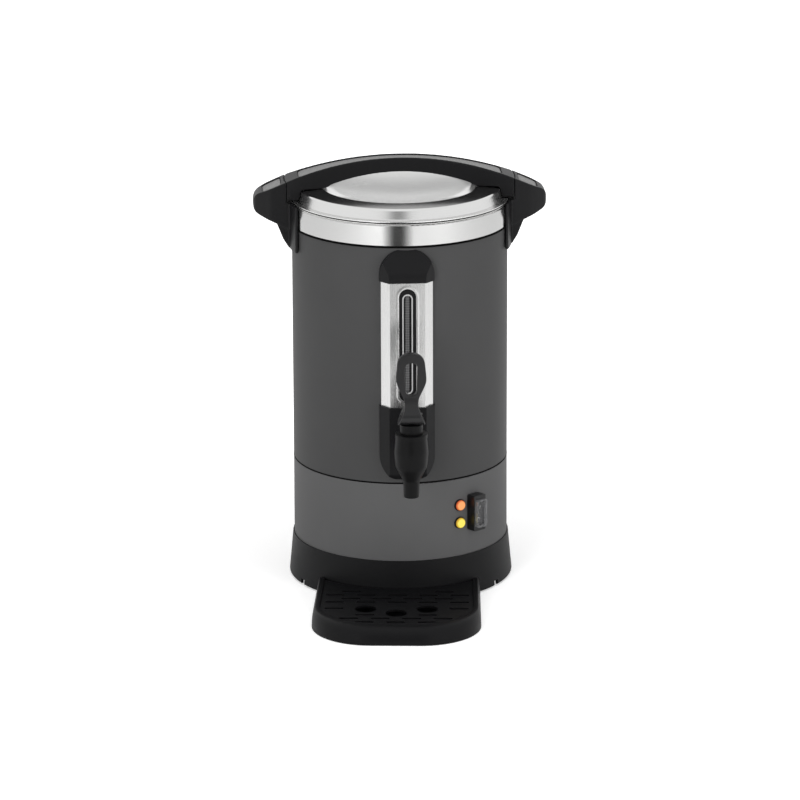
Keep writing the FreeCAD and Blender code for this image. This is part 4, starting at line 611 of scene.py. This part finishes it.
grip_inner, grip_outer, grip_start = 119.6, 152.0, 114.15
grip_top, grip_slope, grip_ledge = 426.9, 0.43, 405.2
under_low, under_slope = 395.4, 0.49
grip_half, saddle_half, web_half = 19.5, 38.0, 16.0
saddle_inner, saddle_outer, saddle_low = 113.15, 116.15, 356.8
pad_from, pad_to, pad_half, pad_narrows = 123.6, 142.0, 15.5, 2
shoulder, shoulder_round, corner_round = 138, 18, 8
low_round, top_round = 9, 11
grip_root, plate_from, plate_to, clearance_top = 100, 60, 140, 460
grip_end_top = grip_top - grip_slope * (grip_outer - grip_inner)
under_start = under_low - under_slope * (grip_outer - grip_start)


def cylinder_tool(name, radius, low, high):
    """An upright cylinder about the urn's axis."""
    return fresh("cylinder", name, vertices=256, radius=radius * mm, depth=(high - low) * mm,
                 location=(0, 0, (low + high) / 2 * mm))


def side_pad(name, grow, above):
    """The grip strip of a carrying handle, or grown a little, the tool for its recess."""
    def level(x):
        return grip_top - grip_slope * (x - grip_inner)
    first, last = pad_from - grow, pad_to + grow
    depth = strip_depth + grow
    piece = prism(name, [(first, level(first) - depth), (last, level(last) - depth),
                         (last, level(last) + above), (first, level(first) + above)], "Y",
                  -tool_half, tool_half)
    half = pad_half + grow
    plan = rounded([(first, -half, 3), (last, pad_narrows - half, 6), (last, half - pad_narrows, 6),
                    (first, half, 3)], closed=True)
    combine(piece, prism(name + "_plan", plan, "Z", tool_low, tool_high), "INTERSECT")
    return piece


wing = prism("side_handle", rounded([
    (grip_start, under_start), (grip_outer, under_low, low_round), (grip_outer, grip_end_top, top_round),
    (grip_start, grip_top + grip_slope * (grip_inner - grip_start))]), "Y", -tool_half, tool_half)
plan = rounded([(grip_root, -grip_half), (shoulder, -grip_half, shoulder_round),
                (grip_outer, -grip_half / 2, corner_round), (grip_outer, grip_half / 2, corner_round),
                (shoulder, grip_half, shoulder_round), (grip_root, grip_half)])
combine(wing, prism("grip_plan", plan, "Z", tool_low - 40, tool_high), "INTERSECT")
combine(wing, cylinder_tool("lid_clearance", grip_inner, grip_ledge, clearance_top), "DIFFERENCE")
combine(wing, side_pad("pad_recess", strip_gap, 4), "DIFFERENCE")
web = prism("web", rounded([
    (grip_start, saddle_low + 1), (saddle_outer, saddle_low + 1), (saddle_outer + 5.5, saddle_low + 10, 9),
    (saddle_outer + 11, saddle_low + 24, 9), (saddle_outer + 15, under_start + 13),
    (grip_start, under_start + 9)]), "Y", -web_half, web_half)
combine(wing, web, "UNION")
plate = cylinder_tool("plate", saddle_outer, saddle_low, grip_ledge)
combine(plate, cylinder_tool("plate_inside", saddle_inner, saddle_low - 5, grip_ledge + 5), "DIFFERENCE")
plate_plan = [(plate_from, -saddle_half), (plate_to, -saddle_half), (plate_to, saddle_half),
              (plate_from, saddle_half)]
combine(plate, prism("plate_cut", plate_plan, "Z", saddle_low - 4, grip_ledge + 4), "INTERSECT")
combine(wing, plate, "UNION")
eased(wing, 0.75, 5)
right_pad = side_pad("side_pad_right", 0, -strip_sunk)
break_edges(right_pad, strip_edge)


def mirrored(piece, name):
    """A copy of a piece with its own mesh, mirrored to the urn's other side."""
    lay_down()
    twin = bpy.data.objects.new(name, piece.data.copy())
    bpy.context.scene.collection.objects.link(twin)
    take_up(twin)
    bpy.ops.object.mode_set(mode="EDIT")
    bpy.ops.mesh.select_all(action="SELECT")
    bpy.ops.transform.resize(value=(-1, 1, 1), center_override=(0, 0, 0))
    bpy.ops.mesh.normals_make_consistent(inside=False)
    return twin


left_wing = mirrored(wing, "left_handle")
left_pad = mirrored(right_pad, "side_pad_left")
wing.name = "right_handle"
fit(wing, "root", "handle_plastic", nylon, "side_handle_right", smooth=60)
fit(left_wing, "root", "handle_plastic", nylon, "side_handle_left", smooth=60)
fit(right_pad, "root", "grip_plastic", grip_with_painted_sheen, "side_grip_pads")
fit(left_pad, "root", "grip_plastic", grip_with_painted_sheen, "side_grip_pads")
paint("handle_screws", zinc)

# Level gauge
# A folded stainless cover with a beaded window stands over the glass level tube. The black scale
# plate behind the window has a pale raised line round the slot that the tube shows through.

cover_steel = Finish("cover_steel", Metallic=1.0, Roughness=0.24, Base_Color=(0.66, 0.66, 0.655, 1))
lines = cover_steel.noise(1.0, (2200, 2200, 22))
smudge = cover_steel.noise(25)
cover_steel.feed(Roughness=0.20 + 0.10 * lines + 0.05 * smudge,
                 Normal=cover_steel.bump(lines, 0.10, 0.00006))
paint("gauge_cover", cover_steel)
for node in ("gauge_scale_plate", "gauge_cap", "tap_housing"):
    paint(node, moulded)


def racetrack(half, low, high):
    """An upright slot in x and z. Its ends are a hair short of half circles, so that every side
    of the outline keeps some length."""
    end = half * 0.999
    return rounded([(-half, low, end), (half, low, end), (half, high, end), (-half, high, end)], closed=True)


window_half, window_low, window_high, bead_width = 8.8, 220.0, 340.0, 3.1
bead_front, bead_back = -125.3, -124.4
through_front, through_back = -130, -118
bead = prism("window_bead", racetrack(window_half + bead_width, window_low - bead_width,
                                      window_high + bead_width), "Y", bead_front, bead_back)
window = prism("window", racetrack(window_half, window_low, window_high), "Y",
               through_front, through_back)
combine(bead, window, "DIFFERENCE")
break_edges(bead, 0.75, segments=4)
fit(bead, "root", "trim_steel", cover_steel)
tube_half, tube_low, tube_high, line_width = 4.1, 229.6, 332.9, 1.2
line_front, line_back = -124.25, -123.6
slot_ring = prism("slot_line", racetrack(tube_half + line_width, tube_low - line_width,
                                         tube_high + line_width), "Y", line_front, line_back)
tube_slot = prism("slot", racetrack(tube_half, tube_low, tube_high), "Y", through_front, through_back)
combine(slot_ring, tube_slot, "DIFFERENCE")
break_edges(slot_ring, 0.15)
pale = Finish("pale_line", Base_Color=(0.42, 0.42, 0.42, 1), Roughness=0.4)
speck = pale.noise(900)
pale.feed(Base_Color=pale.blend(speck, (0.36, 0.36, 0.36, 1), (0.48, 0.48, 0.48, 1)),
          Roughness=0.35 + 0.2 * speck)
fit(slot_ring, "root", "scale_plastic", pale)

glass = Finish("gauge_glass", Base_Color=(0.05, 0.05, 0.052, 1), Roughness=0.06)
mark_pitch, mark_low, mark_high, mark_fade = 0.0026, 0.230, 0.332, 0.002
height = glass.part("Z")
marks_up = (height - mark_low) / mark_pitch
marks = glass.between(marks_up.math("PINGPONG", marks_up, 0.5), 0.16, 0.10)
inside = (glass.between(height, mark_low - mark_fade, mark_low)
          * glass.between(height, mark_high + mark_fade, mark_high))
cloudy = glass.noise(120)
glass.feed(Base_Color=glass.blend(marks * inside, glass.blend(
    cloudy, (0.050, 0.050, 0.052, 1), (0.072, 0.072, 0.074, 1)), (0.105, 0.105, 0.105, 1)),
    Roughness=0.05 + 0.08 * cloudy)
paint("gauge_tube", glass)

# Tap
# The tap's body is moulded in black, with a bonnet screwed down over its valve. Its looped lever
# is a thick soft-edged moulding on a pin; tipping it lifts the valve's stem.

tap_plastic = Finish("tap_plastic", Base_Color=(0.003, 0.003, 0.0032, 1), Roughness=0.34,
                     Specular_IOR_Level=0.12)
grain = tap_plastic.noise(1500)
worn = tap_plastic.noise(45)
tap_plastic.feed(Roughness=0.28 + 0.1 * grain + 0.1 * worn, Normal=tap_plastic.bump(grain, 0.2, 0.00012))
for node in ("tap_body", "tap_bonnet", "tap_shank", "tap_nut", "tap_locknut"):
    paint(node, tap_plastic)
pin_steel = Finish("pin_steel", Metallic=1.0, Roughness=0.35, Base_Color=(0.12, 0.12, 0.12, 1))
wear = pin_steel.noise(500)
pin_steel.feed(Roughness=0.28 + 0.2 * wear)
paint("lever_pin", pin_steel)
paint("valve_stem", pin_steel)

tap_reach, lever_low, lever_top, pin_level = -177.0, 213.5, 287.0, 222.5
skirt_half, waist_half, widest_half, crown_half = 14.3, 5.2, 15.8, 13.0
waist_level, widest_level = lever_low + 21, lever_low + 44
foot_back, foot_front, blade_half, blade_level = 8.6, -14.1, 4, lever_low + 24
slot_half, slot_bottom, slot_top, slot_front = 3.4, 200, 228.1, -10.5
blank_deep, through, pin_hole, pin_length = 40, 60, 1.55, 23.0
front_view = rounded([
    (-skirt_half, lever_low), (skirt_half, lever_low), (waist_half, waist_level, 18),
    (widest_half, widest_level, 18), (crown_half, lever_top, 12.4), (-crown_half, lever_top, 12.4),
    (-widest_half, widest_level, 18), (-waist_half, waist_level, 18)], closed=True)
lever = prism("looped_lever", front_view, "Y", tap_reach - blank_deep, tap_reach + blank_deep)
loop = rounded([(-5.6, 243.3, 5), (5.6, 243.3, 5), (6.6, 277.2, 5.9), (-6.6, 277.2, 5.9)], closed=True)
combine(lever, prism("lever_loop", loop, "Y", tap_reach - through, tap_reach + through), "DIFFERENCE")
slot_view = [(-slot_half, slot_bottom), (slot_half, slot_bottom), (slot_half, slot_top),
             (-slot_half, slot_top)]
stem_slot = prism("stem_slot", slot_view, "Y", tap_reach + slot_front, tap_reach + through)
combine(lever, stem_slot, "DIFFERENCE")
lever_side = [(tap_reach + y, z) for y, z in rounded([
    (foot_back, lever_low + 0.1, 8.4), (foot_front, lever_low + 0.1, 8.7), (foot_front, lever_low + 11, 5),
    (-blade_half, blade_level, 12), (-blade_half, lever_top), (blade_half, lever_top),
    (blade_half, blade_level, 12), (foot_back, lever_low + 13, 6)], closed=True)]
combine(lever, prism("lever_side", lever_side, "X", -30, 30), "INTERSECT")
pin_bore = fresh("cylinder", "pin_bore", vertices=48, radius=pin_hole * mm, depth=pin_length * mm,
                 location=(0, tap_reach * mm, pin_level * mm), rotation=(0, math.pi / 2, 0))
combine(lever, pin_bore, "DIFFERENCE")
eased(lever, 0.5, 16)
lever_plastic = Finish("lever_plastic", Base_Color=(0.0085, 0.0085, 0.009, 1), Roughness=0.3,
                       Specular_IOR_Level=0.35)
grain = lever_plastic.noise(1400)
worn = lever_plastic.noise(60)
lever_plastic.feed(Roughness=0.24 + 0.08 * grain + 0.12 * worn,
                   Normal=lever_plastic.bump(grain, 0.15, 0.0001))
fit(lever, "lever", "lever_plastic", lever_plastic, "tap_lever", smooth=60)

# Signal lamps
# Two lamps with domed lenses in black bezels show heating and keeping warm. Each lens glows
# most in its middle, where the bulb sits close behind it.

lamp_turn, glow_edge, glow_core = math.radians(29.4), 0.0062, 0.0040
lamps = {"orange": (0.1002, (1.0, 0.42, 0.13, 1), (0.45, 0.045, 0.008, 1)),
         "yellow": (0.0811, (1.0, 0.86, 0.12, 1), (0.42, 0.20, 0.006, 1))}
for colour, (level, middle, edge) in lamps.items():
    lens = Finish(f"lens_{colour}", Base_Color=(*(part * 0.3 for part in edge[:3]), 1), Roughness=0.16,
                  Emission_Strength=0.9)
    aside = lens.part("X") * math.cos(lamp_turn) + lens.part("Y") * math.sin(lamp_turn)
    above = lens.part("Z") - level
    off = (aside * aside + above * above) ** 0.5
    ribs = lens.noise(700)
    glow = lens.between(off + 0.0006 * ribs, glow_edge, glow_core)
    lens.feed(Emission_Color=lens.blend(glow, edge, middle), Roughness=0.12 + 0.1 * ribs)
    paint(f"lamp_lens_{colour}", lens)
paint("lamp_bezels", moulded)

# Switch
# The rocker is tipped in at its lower end and carries the usual line and ring. A clear silicone
# boot closes the frame's mouth against splashes. Its sides, ends and grazing faces turn grey:
# partly the milkiness of thick silicone, partly a painted highlight along its edges.

switch_turn, switch_level, switch_pivot = math.radians(38.5), 90.6, 118.35
rocker_tip = math.radians(9)
switch_plastic = Finish("switch_plastic", Base_Color=(0.006, 0.006, 0.0065, 1), Roughness=0.25,
                        Specular_IOR_Level=0.35)
grain = switch_plastic.noise(1600)
switch_plastic.feed(Roughness=0.22 + 0.12 * grain, Normal=switch_plastic.bump(grain, 0.12, 0.0001))
paint("switch_frame", switch_plastic)
paint("switch_rocker", switch_plastic)


def shift(piece, place=(0, 0, 0), turned=(0, 0, 0)):
    """Turns a piece about the origin and moves it to its place, for good."""
    take_up(piece)
    piece.rotation_euler = turned
    piece.location = place
    bpy.ops.object.transform_apply(location=True, rotation=True, scale=True)


pivot_at = Vector((switch_pivot * math.sin(switch_turn), -switch_pivot * math.cos(switch_turn),
                   switch_level))
mark_out, mark_up, mark_size = -3.3, 7.0, (0.7, 0.5, 4.2)
line_mark = fresh("cube", "mark_line", size=mm, location=(0, mark_out * mm, mark_up * mm))
bpy.ops.transform.resize(value=mark_size, center_override=(0, mark_out * mm, mark_up * mm))
worked(line_mark, "BEVEL", width=0.1 * mm, segments=2)
ring_mark = fresh("torus", "mark_ring", major_radius=1.9 * mm, minor_radius=0.33 * mm,
                  major_segments=40, minor_segments=12, rotation=(math.pi / 2, 0, 0),
                  location=(0, (mark_out + 0.1) * mm, -mark_up * mm))
for mark in (line_mark, ring_mark):
    shift(mark, pivot_at * mm, (rocker_tip, 0, switch_turn))
    fit(mark, "rocker", "scale_plastic", pale)

edge_from, edge_to, end_from, end_to = 0.0054, 0.0066, 0.0130, 0.0143
boot = Finish("clear_boot", Base_Color=(0.30, 0.30, 0.31, 1), Roughness=0.05, Alpha=0.2,
              Specular_IOR_Level=1.0, Coat_Weight=0.6, Coat_Roughness=0.03)
slant = boot.node("ShaderNodeLayerWeight", inputs={"Blend": 0.5}, output=1) ** 3
haze = boot.noise(240)
across = boot.part("X") * math.cos(switch_turn) + boot.part("Y") * math.sin(switch_turn)
above = boot.part("Z") - switch_level * mm
# Painted highlight: the boot's sides and ends, and its faces seen at a slant, are made more opaque in grey.
# This stands in partly for milky thick silicone and partly for the bright reflections along its edges.
side_edge = boot.between(across.math("ABSOLUTE", across), edge_from, edge_to)
end_edge = boot.between(above.math("ABSOLUTE", above), end_from, end_to)
milky_and_highlit_edge = side_edge.math("MAXIMUM", side_edge, end_edge)
alpha = 0.05 + 0.05 * haze + 0.6 * slant + 0.22 * milky_and_highlit_edge
boot.feed(Alpha=alpha.math("MINIMUM", alpha, 0.9), Roughness=0.04 + 0.06 * haze)
paint("switch_boot", boot)

# Drip tray
# The tray is a thin moulding, hooked under the base ring by a tongue. Its front is a wide smooth
# quarter round; its side walls stay up beside the slotted grille that lies in it.

tray_turn = -math.radians(5)
tray_lift, tray_top, tray_half, tray_taper = 0.6, 18.5, 88.0, 3.5
tray_front, tray_back, tray_slope, tray_corner = 250.0, 64.6, 15.0, 62.0
tray_rim, seat_level, seat_ledge, floor_level = 4.5, 15.0, 4.0, 2.6
tray_clear, tray_edge, bands = 118.0, 0.5, 14
tongue_half, tongue_high, tongue_low, tongue_front, tongue_back = 38.0, 4.0, 1.6, -124, -94

outline = rounded([(-tray_half + tray_taper, -tray_back), (-tray_half, -tray_front, tray_corner),
                   (tray_half, -tray_front, tray_corner), (tray_half - tray_taper, -tray_back)], steps=16)
tray = trace("tray", [(x, y, tray_lift) for x, y in outline])
bpy.ops.mesh.edge_face_add()
for band in range(bands):
    lower, upper = (math.pi / 2 * step / bands for step in (band, band + 1))
    rise = (tray_top - tray_lift) * (math.sin(upper) - math.sin(lower))
    width = [tray_half - tray_taper * (1 - math.cos(angle)) for angle in (lower, upper)]
    depth = [tray_front - tray_back - tray_slope * (1 - math.cos(angle)) for angle in (lower, upper)]
    draw_out((0, 0, rise * mm))
    bpy.ops.transform.resize(value=(width[1] / width[0], depth[1] / depth[0], 1),
                             center_override=(0, -tray_back * mm, 0))
bpy.ops.mesh.inset(thickness=tray_rim * mm)
draw_out((0, 0, (seat_level - tray_top) * mm))
bpy.ops.mesh.inset(thickness=seat_ledge * mm)
draw_out((0, 0, (floor_level - seat_level) * mm))
close_up()
combine(tray, cylinder_tool("base_clearance", tray_clear, -10, 40), "DIFFERENCE")
tongue = prism("tongue", [(-tongue_half, tongue_front), (tongue_half, tongue_front),
                          (tongue_half, tongue_back), (-tongue_half, tongue_back)], "Z",
               tongue_low, tongue_low + tongue_high)
combine(tray, tongue, "UNION")
break_edges(tray, tray_edge, sharper_than=55)
shift(tray, turned=(0, 0, tray_turn))
tray_plastic = Finish("tray_plastic", Base_Color=(0.004, 0.004, 0.0045, 1), Roughness=0.36,
                      Specular_IOR_Level=0.14)
grain = tray_plastic.noise(1500)
scuff = tray_plastic.noise(30)
tray_plastic.feed(Roughness=0.30 + 0.1 * grain + 0.12 * scuff,
                  Normal=tray_plastic.bump(grain, 0.25, 0.00015))
fit(tray, "tray", "tray_plastic", tray_plastic, "drip_tray")
paint("drip_grille", tray_plastic)

bpy.context.scene.view_settings.view_transform = "Standard"
